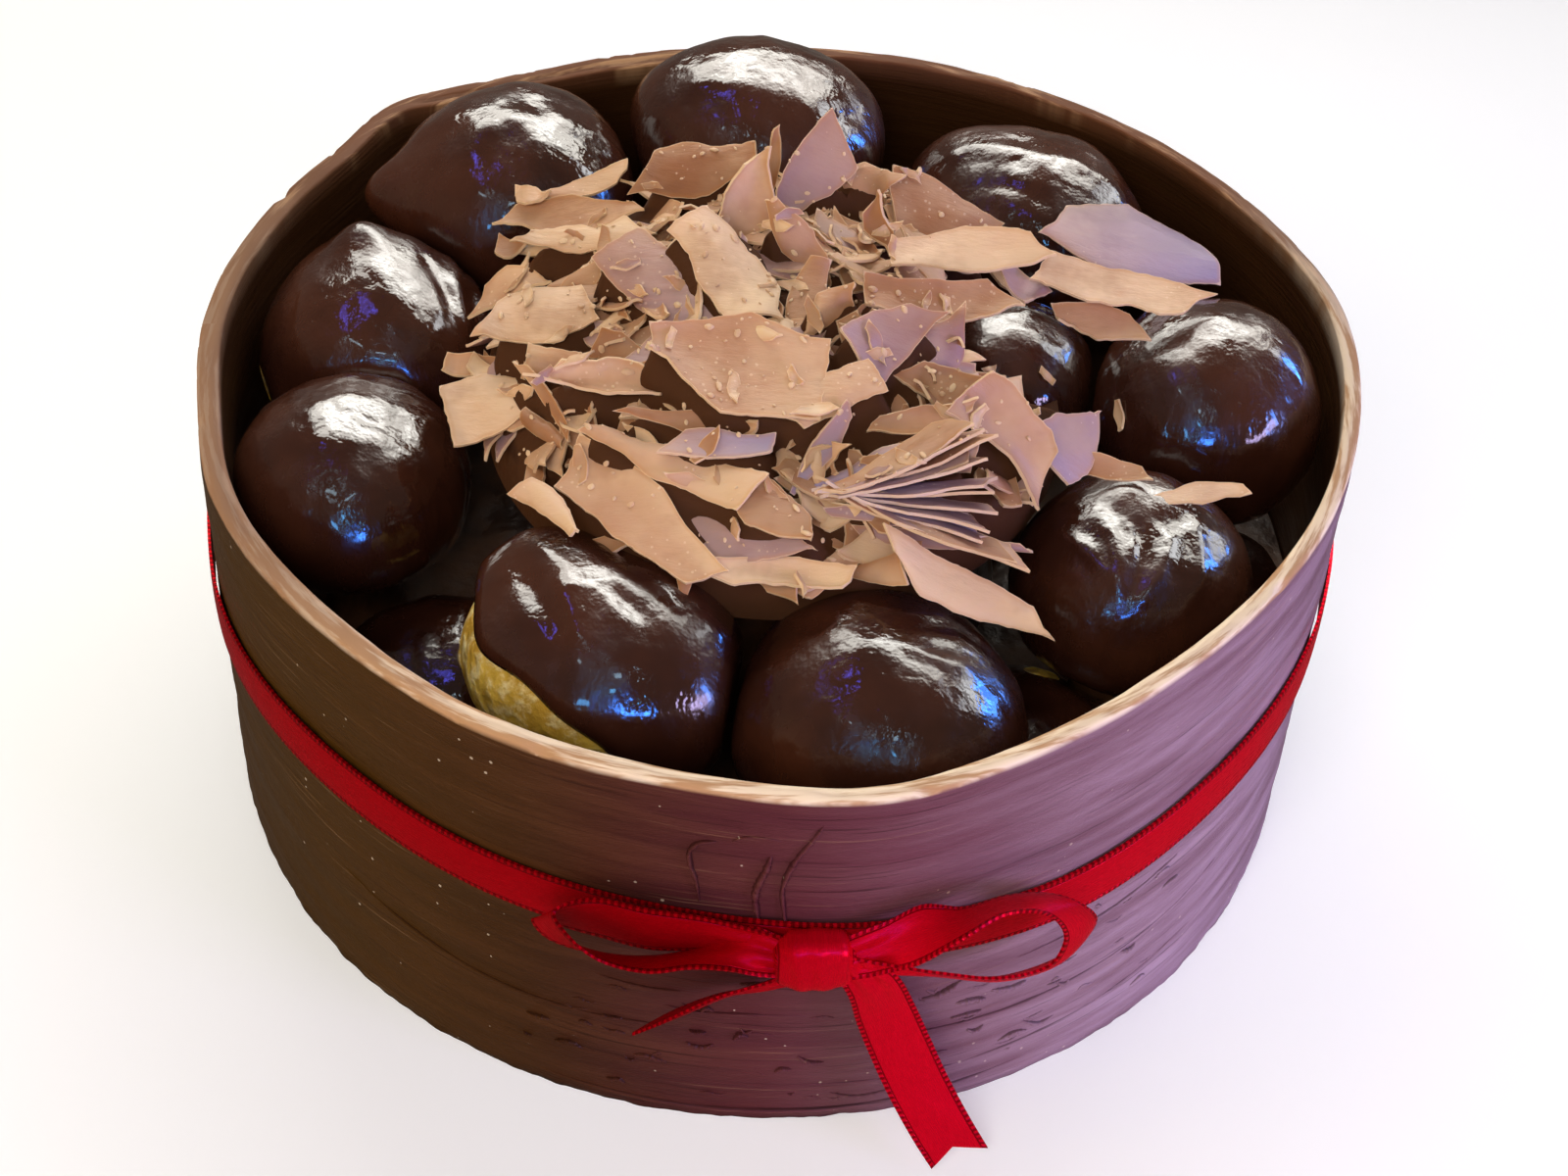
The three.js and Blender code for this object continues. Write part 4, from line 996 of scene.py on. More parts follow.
@dataclass(frozen=True)
class CollarPiece:
    """Models the collar: a turned strip with a cut lip, streaks and chips; its raised lines are a piece of
    their own.
    """

    shape: CollarShape
    steps: int = 720
    outer_rows: int = 62
    inner_rows: int = 18
    lip_rows: int = 10
    dent: float = 0.28
    streak: float = 0.10
    lip_wave: float = 0.35
    groove: float = 1.1
    groove_half: float = 0.35

    def profile(self) -> list[tuple[float, float]]:
        """The strip's section, outer face first, as a share across the wall (0 outer) and a height."""
        top = self.shape.height
        rows = [(0.0, top * i / self.outer_rows) for i in range(self.outer_rows)]
        for i in range(self.lip_rows + 1):
            turn = math.pi * i / self.lip_rows
            rows.append((0.5 - 0.5 * math.cos(turn), top - 0.75 + 0.75 * math.sin(turn) ** 0.5))
        rows += [(1.0, top * (1.0 - (i + 1) / self.inner_rows)) for i in range(self.inner_rows)]
        return rows

    def build(self, paints: Paints) -> Piece:
        """Models, paints and places the collar."""
        section = [(self.shape.radius + share, height) for share, height in self.profile()]
        piece = Modeller.turned("collar", section, self.steps, closed=True)
        turned = Modeller.read(piece)
        share = np.hypot(turned[:, 0], turned[:, 1]) - self.shape.radius
        height, bearing = turned[:, 2].copy(), bearing_of(turned)
        corners, lip = self._shaped(share, height, bearing)
        Modeller.write(piece, corners * MM)
        Modeller.layer(piece, "lip", lip)
        Modeller.layer(piece, "outside", share < 0.5)
        Modeller.layer(piece, "flank", np.zeros(len(lip)))
        Modeller.smooth(piece)
        Modeller.done(piece, paints.wall, "dark_chocolate", "chocolate_collar")
        return piece

    def _shaped(self, share: Array, height: Array, bearing: Array) -> tuple:
        """Bends the strip and works the marks into it.

        Args:
            share: place across the wall, 0 outside and 1 inside.
            height: height of each corner.
            bearing: bearing of each corner.

        Returns:
            The corners in millimetres, and how much each is cut lip.
        """
        shape = self.shape
        on_lip = smooth_step(shape.height - 1.1, shape.height - 0.5, height)
        thick = shape.thickness(bearing)
        radius = shape.outer(bearing, height) - share * thick
        round_place = around(bearing, shape.radius, height * 3.0)
        outside = (1.0 - np.clip(share * 2.0, 0.0, 1.0)) * smooth_step(0.0, 6.0, height) * (1.0 - on_lip)
        dents = self.dent * noise_at(round_place, 34.0, 1.0)
        streaks = self.streak * noise_at(round_place * (1.0, 1.0, 2.2), 7.0, 2.0)
        radius = radius + outside * (dents + streaks)
        edge = around(bearing, shape.radius, share * 8.0)
        wave = self.lip_wave * noise_at(edge, 16.0, 3.0, 3) * on_lip
        split = (shape.lap_extra + 0.2) / thick
        in_groove = np.exp(-(((1.0 - share - split) * thick / self.groove_half) ** 2))
        groove = self.groove * in_groove * shape.in_lap(bearing) * on_lip
        chips = np.clip(noise_at(edge, 5.0, 4.0, 3) - 0.42, 0.0, 1.0) * on_lip * 2.2
        z = height + wave - groove - chips * smooth_step(0.4, 0.0, share)
        foot = smooth_step(2.5, 0.0, height)
        radius = radius + foot * 0.35 * noise_at(round_place, 4.0, 5.0, 2) * (share < 0.5)
        cut = on_lip * (1.0 - 0.5 * in_groove * shape.in_lap(bearing))
        return around(bearing, radius, np.maximum(z, 0.0)), cut


# ---- buns


@dataclass(frozen=True)
class Lump:
    """A bump on a bun, by its bearing and height seen from the bun's middle, in degrees."""

    bearing: float
    height: float
    spread: float
    out: float


@dataclass(frozen=True)
class Fold:
    """A fold in the glaze along a few directions (bearing and height, in degrees) on a bun."""

    SAMPLES: ClassVar[int] = 25

    places: tuple[tuple[float, float], ...]
    spread: float
    out: float

    def height(self, directions: Array) -> Array:
        """How far the fold lifts the skin along each direction."""
        path = spline(np.array([towards(*place) for place in self.places]),
                      np.linspace(0.0, 1.0, self.SAMPLES))
        path = path / np.linalg.norm(path, axis=1, keepdims=True)
        cosine = np.clip(directions @ path.T, -1.0, 1.0)
        away = np.degrees(np.arccos(cosine))
        nearest = away.argmin(axis=1)
        share = nearest / (self.SAMPLES - 1)
        taper = np.sqrt(np.clip(4.0 * share * (1.0 - share), 0.0, 1.0)) * 0.85 + 0.15
        return self.out * taper * np.exp(-((away.min(axis=1) / self.spread) ** 2))


@dataclass
class Bun:
    """A choux bun: an oval with bumps, pressed against its neighbours and the collar."""

    number: int
    centre: Point
    along: float
    across: float
    up: float
    heading: float
    named: tuple[Lump, ...] = ()
    lumps: list[Lump] = field(default_factory=list)
    presses: list[tuple[Array, float]] = field(default_factory=list)
    flat: float = 2.4

    def draw_lumps(self, draws: Draws, count: int = 5) -> None:
        """Adds small uneven places from the seeded row."""
        self.lumps = list(self.named)
        for _ in range(count):
            bearing = 360.0 * draws.next()
            height = draws.between(-35.0, 75.0)
            spread = 24.0 + 22.0 * draws.next()
            self.lumps.append(Lump(bearing, height, spread, 1.1 * (2.0 * draws.next() - 1.0)))

    @property
    def underside(self) -> float:
        """Height of the bun's pressed underside."""
        return self.centre[2] - self.up + self.flat

    def oval_reach(self, directions: Array) -> Array:
        """The plain oval's reach from its middle along each direction."""
        turn = math.radians(self.heading)
        x = directions[..., 0] * math.cos(turn) + directions[..., 1] * math.sin(turn)
        y = directions[..., 1] * math.cos(turn) - directions[..., 0] * math.sin(turn)
        z = directions[..., 2]
        return 1.0 / np.sqrt((x / self.along) ** 2 + (y / self.across) ** 2 + (z / self.up) ** 2)

    def lump_height(self, directions: Array) -> Array:
        """How far the bumps lift the skin along each direction."""
        total = np.zeros(directions.shape[:-1])
        for lump in self.lumps:
            cosine = np.clip(directions @ towards(lump.bearing, lump.height), -1.0, 1.0)
            total += lump.out * np.exp(-((np.degrees(np.arccos(cosine)) / lump.spread) ** 2))
        return total

    def skin(self, directions: Array, grow: Array, collar: CollarShape, gap: float = 0.35,
             softness: float = 0.9) -> Array:
        """Places points on the bun's skin.

        Args:
            directions: unit directions from the bun's middle.
            grow: how far the skin is swollen, for all points or for each.
            collar: the wall that the bun leans on.
            gap: air left between pieces.
            softness: how sharply the bun flattens, per millimetre.

        Returns:
            The points in millimetres.
        """
        grow = np.broadcast_to(grow, directions.shape[:-1])
        reach = self.oval_reach(directions) + self.lump_height(directions) + grow
        points = directions * reach[..., None]
        for toward, side in self.presses:
            reached = points @ toward
            points = points + toward * (soft_min(reached, side + grow, softness) - reached)[..., None]
        points = points + np.array(self.centre)
        bearing, radius = bearing_of(points), np.hypot(points[..., 0], points[..., 1])
        limit = collar.inner(bearing, np.clip(points[..., 2], 0.0, collar.height)) - gap
        limit = limit + np.minimum(grow, 0.0)
        pressed = soft_min(radius, limit, softness)
        points[..., 0] *= pressed / radius
        points[..., 1] *= pressed / radius
        low = self.underside - grow
        points[..., 2] = np.maximum(soft_max(points[..., 2], low, softness), low)
        return points


def press_together(buns: Sequence[Bun], gap: float = 0.35, least: float = 6.0) -> None:
    """Gives neighbouring buns the flat places where they meet.

    Args:
        buns: every bun.
        gap: air left between them.
        least: how far apart two buns may be before they count as apart.
    """
    for i, bun in enumerate(buns):
        for other in buns[i + 1:]:
            offset = np.array(other.centre, float) - np.array(bun.centre, float)
            distance = float(np.linalg.norm(offset))
            toward = offset / distance
            reach, other_reach = float(bun.oval_reach(toward)), float(other.oval_reach(-toward))
            if reach + other_reach < distance - least:
                continue
            side = (distance + reach - other_reach) / 2.0
            bun.presses.append((toward, side - gap / 2.0))
            other.presses.append((-toward, distance - side - gap / 2.0))


@dataclass(frozen=True)
class GlazeCap:
    """The glaze that has slipped on one bun: where it lies, how thick it is and how its edge runs."""

    thickness: float = 2.2
    middle: Point = (0.66, 0.2, 0.73)
    reach: float = 104.0
    waves: tuple[tuple[int, float, float], ...] = ((1, 7.0, 10.0), (3, 5.0, 195.0), (7, 1.8, 110.0))
    bead: float = 0.35

    def build(self, bun: Bun, collar: CollarShape, cuts: int, relief: Callable) -> Piece:
        """Models the cap as a shell: a ball's upper half is its outside and the lower half its inside."""
        piece = Modeller.ball("glaze_2", cuts)
        unit = Modeller.read(piece)
        bearing = bearing_of(unit)
        from_pole = np.degrees(np.arccos(np.clip(np.abs(unit[:, 2]), 0.0, 1.0))) / 90.0
        reach = self.reach + sum(size * np.sin(np.radians(count * bearing + turn))
                                 for count, size, turn in self.waves)
        local = towards(bearing, 90.0 - reach * from_pole)
        turn = Vector((0, 0, 1)).rotation_difference(Vector(self.middle).normalized()).to_matrix()
        directions = local @ np.array(turn).T
        outside = unit[:, 2] > -1e-4
        thinned = self.thickness * 0.6 * from_pole ** 14
        inner = -self.thickness + (self.thickness - thinned) * from_pole ** 20
        grow = np.where(outside, -thinned + self.bead * np.exp(-(((from_pole - 0.93) / 0.05) ** 2)), inner)
        points = bun.skin(directions, grow, collar)
        points = points + directions * (relief(directions) * outside * (1.0 - from_pole ** 10))[:, None]
        Modeller.write(piece, points * MM)
        Modeller.outward(piece)
        Modeller.smooth(piece)
        return piece


class BunPieces:
    """Models every bun."""

    ROWS = (
        (1, (18.9, -67.9, 65.0), 24.2, 22.0, 19.2, 0.0),
        (2, (-26.0, -61.8, 68.6), 25.2, 21.5, 18.8, -20.0),
        (3, (-71.5, -21.0, 67.0), 21.8, 20.5, 17.2, 90.0),
        (4, (-72.5, 16.3, 65.0), 22.5, 21.5, 19.5, 90.0),
        (5, (-51.6, 51.0, 77.0), 23.4, 22.5, 18.6, 45.0),
        (6, (-6.0, 70.7, 80.0), 24.6, 21.5, 17.8, 0.0),
        (7, (46.0, 57.0, 70.0), 26.0, 21.0, 19.0, -42.0),
        (8, (76.3, 4.2, 71.0), 20.6, 21.0, 19.8, 90.0),
        (9, (61.0, -34.0, 65.0), 20.6, 20.0, 17.5, 60.0),
        (10, (41.0, 12.0, 68.0), 17.0, 17.0, 17.0, 0.0),
    )
    LOW_ROWS = (
        (11, (-55.0, -46.0, 42.0), 20.0, 20.0, 14.0, 0.0),
        (12, (46.0, -54.0, 40.0), 20.0, 20.0, 14.0, 30.0),
        (13, (74.0, -14.0, 42.0), 20.0, 20.0, 13.0, 80.0),
    )
    NAMED = {
        1: (Lump(120, 62, 30, 1.2), Lump(-60, 20, 34, 0.8)),
        2: (Lump(130, 42, 26, 2.4), Lump(-30, -8, 34, 1.6)),
        3: (Lump(190, 30, 40, 1.0), Lump(20, 55, 30, -1.0)),
        4: (Lump(112, 66, 12, 2.6), Lump(100, 50, 34, 1.8)),
        5: (Lump(-162, 10, 15, 5.2), Lump(60, 40, 36, 1.6)),
        6: (Lump(175, 30, 30, 1.8), Lump(-20, 28, 30, -1.4)),
        7: (Lump(150, 40, 26, 1.8), Lump(40, 48, 22, 1.6)),
        8: (Lump(40, 50, 34, 1.0), Lump(-60, 30, 30, -0.8)),
        9: (Lump(80, 60, 24, 1.8), Lump(0, 30, 26, 1.2)),
    }
    FOLDS = {
        1: (Fold(((22, 76), (16, 56), (8, 38)), 5.0, 0.35), Fold(((60, 70), (44, 56), (34, 38)), 5.0, 0.3),
            Fold(((162, 30), (160, 42), (150, 64)), 7.0, -0.4),
            Fold(((-20, 80), (-14, 60), (-6, 44)), 4.0, 0.3)),
        2: (Fold(((154, 44), (-160, 62), (-110, 56)), 6.0, -0.9),
            Fold(((140, 52), (160, 74), (-100, 66)), 7.0, 0.7),
            Fold(((178, 70), (-124, 68), (-98, 58)), 5.0, 0.45),
            Fold(((-14, 86), (-34, 68), (-38, 50)), 5.0, -0.5),
            Fold(((16, 42), (-10, 34), (0, 18)), 6.0, 0.5)),
        3: (Fold(((-162, 62), (82, 76), (16, 44)), 9.0, 0.5),
            Fold(((28, 24), (6, 8), (-16, -12)), 6.0, -0.4)),
        4: (Fold(((46, 42), (4, 44), (-20, 30)), 4.0, 0.6),
            Fold(((34, 32), (10, 28), (-12, 20)), 4.0, 0.6),
            Fold(((42, 62), (4, 54), (-24, 40)), 4.0, -0.5)),
        5: (Fold(((-134, 54), (-86, 80), (10, 46)), 8.0, 0.5),
            Fold(((10, 46), (4, 26), (-2, 6)), 6.0, 0.6)),
        6: (Fold(((-160, 40), (-110, 62), (-40, 50)), 9.0, 0.4),
            Fold(((-60, 20), (-30, 30), (-6, 24)), 6.0, -0.4)),
        7: (Fold(((174, 40), (168, 66), (-24, 76)), 6.0, 0.6),
            Fold(((-24, 76), (-16, 54), (-16, 34)), 6.0, 0.6),
            Fold(((-150, 50), (-120, 60), (-70, 50)), 5.0, -0.5)),
        8: (Fold(((158, 56), (120, 84), (-14, 68)), 9.0, 0.3),
            Fold(((-14, 68), (-24, 46), (-32, 24)), 8.0, 0.35)),
        9: (Fold(((-178, 42), (-142, 52), (-106, 42)), 4.0, 0.5),
            Fold(((174, 68), (-118, 60), (-102, 38)), 4.0, 0.6),
            Fold(((-124, 86), (-90, 62), (-98, 38)), 4.0, -0.6),
            Fold(((-30, 70), (-74, 52), (-92, 34)), 4.0, 0.6),
            Fold(((10, 60), (-40, 46), (-70, 24)), 5.0, 0.45)),
        10: (Fold(((-150, 60), (-100, 50), (-60, 30)), 6.0, 0.4),),
    }
    SEED = 31
    BARE = 2
    CUTS = 47
    GAP = 0.35
    GLAZE_RELIEF = 0.5
    PASTRY_RELIEF = 0.55
    TOP_COUNT = 10
    BARE_PATCHES = {
        4: (Lump(-158, -6, 17, 1.0),),
        11: (Lump(-8, 52, 26, 1.0),),
        12: (Lump(80, 40, 14, 1.0),),
        13: (Lump(-150, 48, 22, 1.0), Lump(40, 60, 20, 1.0), Lump(-80, 42, 18, 1.0)),
    }

    def __init__(self, collar: CollarShape) -> None:
        """Places the buns and presses them together.

        Args:
            collar: the wall round them.
        """
        self.collar = collar
        draws = Draws(self.SEED)
        self.buns = [Bun(*row, named=self.NAMED.get(row[0], ())) for row in self.ROWS + self.LOW_ROWS]
        for bun in self.buns:
            bun.draw_lumps(draws)
        press_together(self.buns)

    def build(self, paints: Paints) -> list[Piece]:
        """Models, paints and places every bun."""
        return [self._bun(bun, paints) for bun in self.buns] + [self._cap(paints)]

    def _relief(self, bun: Bun, size: float) -> Callable:
        """The fine unevenness of a poured glaze on one bun: slack ripples that run down it."""
        def height(directions: Array) -> Array:
            stretched = directions * (1.0, 1.0, 0.55)
            slack = noise_at(stretched, 0.55, bun.number * 3.1, 2)
            fine = noise_at(stretched, 0.22, bun.number * 5.7, 2)
            folds = sum(fold.height(directions) for fold in self.FOLDS.get(bun.number, ()))
            return size * (slack + 0.35 * fine) + folds
        return height

    def _bun(self, bun: Bun, paints: Paints) -> Piece:
        """Models one bun."""
        low, bare = bun.number > self.TOP_COUNT, bun.number == self.BARE
        piece = Modeller.ball(f"bun_{bun.number}", self.CUTS)
        directions = Modeller.read(piece)
        grow = -(GlazeCap.thickness + 3.0 * self.GAP) if bare else 0.0
        points = bun.skin(directions, grow, self.collar)
        high = smooth_step(bun.underside + 1.0, bun.underside + 6.0, points[:, 2])
        size = self.PASTRY_RELIEF if bare else self.GLAZE_RELIEF
        points = points + directions * (self._relief(bun, size)(directions) * high)[:, None]
        Modeller.write(piece, points * MM)
        Modeller.outward(piece)
        Modeller.smooth(piece)
        node = f"low_profiterole_{bun.number - self.TOP_COUNT}" if low else f"profiterole_{bun.number}"
        patches = self.BARE_PATCHES.get(bun.number, ())
        if patches:
            here = replace(bun, lumps=list(patches)).lump_height(directions)
            Modeller.layer(piece, "bare", here + 0.12 * noise_at(directions, 0.3, 9.0, 3))
        finish = paints.choux if bare else paints.part_glazed if patches else paints.glaze
        Modeller.done(piece, finish, "choux_pastry" if bare else "chocolate_glaze", node)
        return piece

    def _cap(self, paints: Paints) -> Piece:
        """Models the slipped glaze of the bare bun."""
        bun = self.buns[self.BARE - 1]
        piece = GlazeCap().build(bun, self.collar, self.CUTS, self._relief(bun, self.GLAZE_RELIEF))
        Modeller.done(piece, paints.glaze, "chocolate_glaze", f"profiterole_{self.BARE}_glaze")
        return piece


# ---- the pile inside


@dataclass(frozen=True)
class PilePiece:
    """The dark pile under the buns: a low floor that rises in the middle and under every bun."""

    collar: CollarShape
    buns: Sequence[Bun]
    floor: float = 34.0
    centre_top: float = 75.5
    centre_radius: float = 38.0
    centre_skirt: float = 5.0
    seat_radius: float = 6.0
    seat_skirt: float = 3.0
    gap: float = 0.35
    rings: int = 90
    sides: int = 240

    def build(self, paints: Paints) -> Piece:
        """Models, paints and places the pile."""
        section = [(1.0, 0.0), (1.0, 0.5)]
        section += [(1.0 - i / self.rings, 1.0) for i in range(self.rings)]
        section += [(1e-4, 1.0)]
        piece = Modeller.turned("pile", [(1e-4, 0.0), *section], self.sides, closed=False)
        unit = Modeller.read(piece)
        share, bearing = np.hypot(unit[:, 0], unit[:, 1]), bearing_of(unit)
        radius = share * (self.collar.inner(bearing, unit[:, 2] * self.floor) - self.gap)
        points = around(bearing, radius, 0.0)
        points[:, 2] = unit[:, 2] * self._top(points)
        Modeller.write(piece, points * MM)
        Modeller.outward(piece)
        Modeller.smooth(piece, 60.0)
        Modeller.done(piece, paints.pile, "chocolate_pile", "cake_filling")
        return piece

    def _top(self, place: Array) -> Array:
        """Height of the pile at each place."""
        top = self.floor + 0.7 * noise_at(place, 9.0, 11.0, 3)
        for x, y, level, radius, skirt in self._seats():
            out = np.hypot(place[:, 0] - x, place[:, 1] - y)
            cone = level - (out - radius) * (level - self.floor / 2.0) / skirt
            top = np.maximum(top, np.minimum(cone, level))
        for bun in self.buns[BunPieces.TOP_COUNT - 1:]:
            out = np.hypot(place[:, 0] - bun.centre[0], place[:, 1] - bun.centre[1]) / bun.along
            bottom = bun.centre[2] - bun.up * np.sqrt(np.clip(1.0 - out * out, 0.0, 1.0))
            hollow = np.maximum(bottom, bun.underside) - 1.3
            top = np.where(out < 1.0, np.minimum(top, hollow), top)
        return top

    def _seats(self) -> list[tuple[float, float, float, float, float]]:
        """Middle, level, radius and skirt of the rise in the middle and of each bun's seat."""
        rows = [(0.0, 0.0, self.centre_top, self.centre_radius, self.centre_skirt)]
        for bun in self.buns[:BunPieces.TOP_COUNT]:
            rows.append((bun.centre[0], bun.centre[1], bun.underside - self.gap, self.seat_radius,
                         self.seat_skirt))
        return rows


# ---- shavings


@dataclass(frozen=True)
class Heap:
    """The smooth heap that the shavings lie along."""

    x: float = 0.0
    y: float = -6.0
    radius_x: float = 54.0
    radius_y: float = 56.0
    edge_top: float = 84.0
    rise: float = 20.0
    power: float = 0.9
    fall: float = 18.0
    sink: float = 3.0
    reach: float = 0.92
    bottom: float = 75.85

    def height(self, x: Array, y: Array) -> Array:
        """Height of the heap's top."""
        out = np.hypot((x - self.x) / self.radius_x, (y - self.y) / self.radius_y)
        dome = np.maximum(0.0, 1.0 - out * out) ** self.power
        return self.edge_top + self.rise * dome - self.fall * np.maximum(0.0, out - 1.0)


@dataclass(frozen=True)
class Flake:
    """One shaving: its middle, how it lies, and its outline.

    Its face leans `lean` degrees from level towards the bearing `facing`, and its length runs along
    the bearing `turn`. `start`, `mid` and `end` are widths, `bow` is how far its middle bows
    sideways, and `curl` how far its sides droop.
    """

    x: float
    y: float
    z: float
    lean: float
    facing: float
    turn: float
    length: float
    start: float
    mid: float
    end: float
    bow: float
    curl: float

    @property
    def centre(self) -> Array:
        """Its middle."""
        return np.array((self.x, self.y, self.z))

    @property
    def face(self) -> Array:
        """The direction that its face looks."""
        return towards(self.facing, 90.0 - self.lean)

    @property
    def along(self) -> Array:
        """The direction of its length."""
        flat = towards(self.turn, 0.0)
        flat = flat - self.face * float(flat @ self.face)
        return flat / np.linalg.norm(flat)

    @property
    def sideways(self) -> Array:
        """The direction of its width."""
        return np.cross(self.face, self.along)

    def width(self, s: Array) -> Array:
        """Width at a share of the length."""
        first = self.start + (self.mid - self.start) * np.asarray(s) / 0.5
        second = self.mid + (self.end - self.mid) * (np.asarray(s) - 0.5) / 0.5
        return np.maximum(1.2, np.where(np.asarray(s) < 0.5, first, second))

    def middle_line(self, s: Array) -> Array:
        """How far the middle has bowed sideways at a share of the length."""
        return self.bow * (1.0 - (2.0 * np.asarray(s) - 1.0) ** 2)

    def over(self, x: Array, y: Array, margin: float = 0.6) -> Array:
        """The height at which the flake passes over each place, or a very low one where it doesn't."""
        face, centre = self.face, self.centre
        level = centre[2] - ((x - centre[0]) * face[0] + (y - centre[1]) * face[1]) / face[2]
        offset = np.stack([x, y, level], axis=-1) - centre
        s = offset @ self.along / self.length + 0.5
        side = np.abs(offset @ self.sideways - self.middle_line(s))
        covered = (s >= 0) & (s <= 1) & (side < self.width(s) / 2.0 + margin)
        return np.where(covered, level, -1e3)


class Tone(Enum):
    """How a shaving is coloured: a tint from dark to pale, and how much painted bluish light shows on it as
    lilac.
    """

    DARK = (0.15, 0.10)
    BROWN = (0.38, 0.0)
    TAN = (0.62, 0.0)
    PALE = (0.86, 0.0)
    MAUVE = (0.45, 0.42)
    LILAC = (0.70, 0.85)
    VIOLET = (0.25, 0.95)

    @property
    def tint(self) -> float:
        """Its place from dark to pale."""
        return self.value[0]

    @property
    def painted_cool_light(self) -> float:
        """How much painted bluish light shows on it as lilac."""
        return self.value[1]


BROWN, TAN, PALE, MAUVE, LILAC = Tone.BROWN, Tone.TAN, Tone.PALE, Tone.MAUVE, Tone.LILAC


def flakes(rows: Sequence[tuple]) -> list[tuple[Flake, Tone]]:
    """Each row's shaving with its colour."""
    return [(Flake(*row), tone) for tone, *row in rows]


@dataclass(frozen=True)
class Fan:
    """Thin leaves stacked on edge at the front of the heap, spread from one root like a fan."""

    root: Point = (8.5, -51.0, 97.5)
    tones: tuple[Tone, ...] = (
        BROWN, MAUVE, Tone.DARK, LILAC, LILAC, Tone.VIOLET, Tone.DARK, Tone.VIOLET,
        LILAC, Tone.VIOLET, Tone.DARK, MAUVE,
    )
    bearings: tuple[float, float] = (33.0, -6.0)
    ends: tuple[float, float] = (102.5, 89.5)
    lengths: tuple[float, float] = (27.0, 32.0)
    lean: float = 30.0
    most_tilt: float = 0.9

    def leaves(self, draws: Draws) -> list[tuple[Flake, Tone]]:
        """Every leaf of the fan with its colour, from the uppermost down."""
        made = []
        spans = (self.bearings, self.ends, self.lengths)
        for i, tone in enumerate(self.tones):
            share = i / (len(self.tones) - 1)
            turn, end, length = (low + (high - low) * share for low, high in spans)
            length, turn = length + draws.between(-5.0, 2.5), turn + draws.between(-3.0, 3.0)
            slope = (end - self.root[2]) / length
            lean = self.lean + draws.between(-8.0, 12.0)
            tilt = slope / (0.5 * math.sin(math.radians(2.0 * lean)))
            aside = math.degrees(math.asin(max(-self.most_tilt, min(self.most_tilt, tilt))))
            along = towards(turn, 0.0) * length / 2.0
            made.append((Flake(self.root[0] + along[0], self.root[1] + along[1],
                               (self.root[2] + end) / 2.0, lean,
                               turn + 90.0 + aside, turn, length, 1.8, draws.between(6.0, 9.0),
                               draws.between(5.0, 9.0), draws.between(-0.8, 0.8), 0.4), tone))
        return made


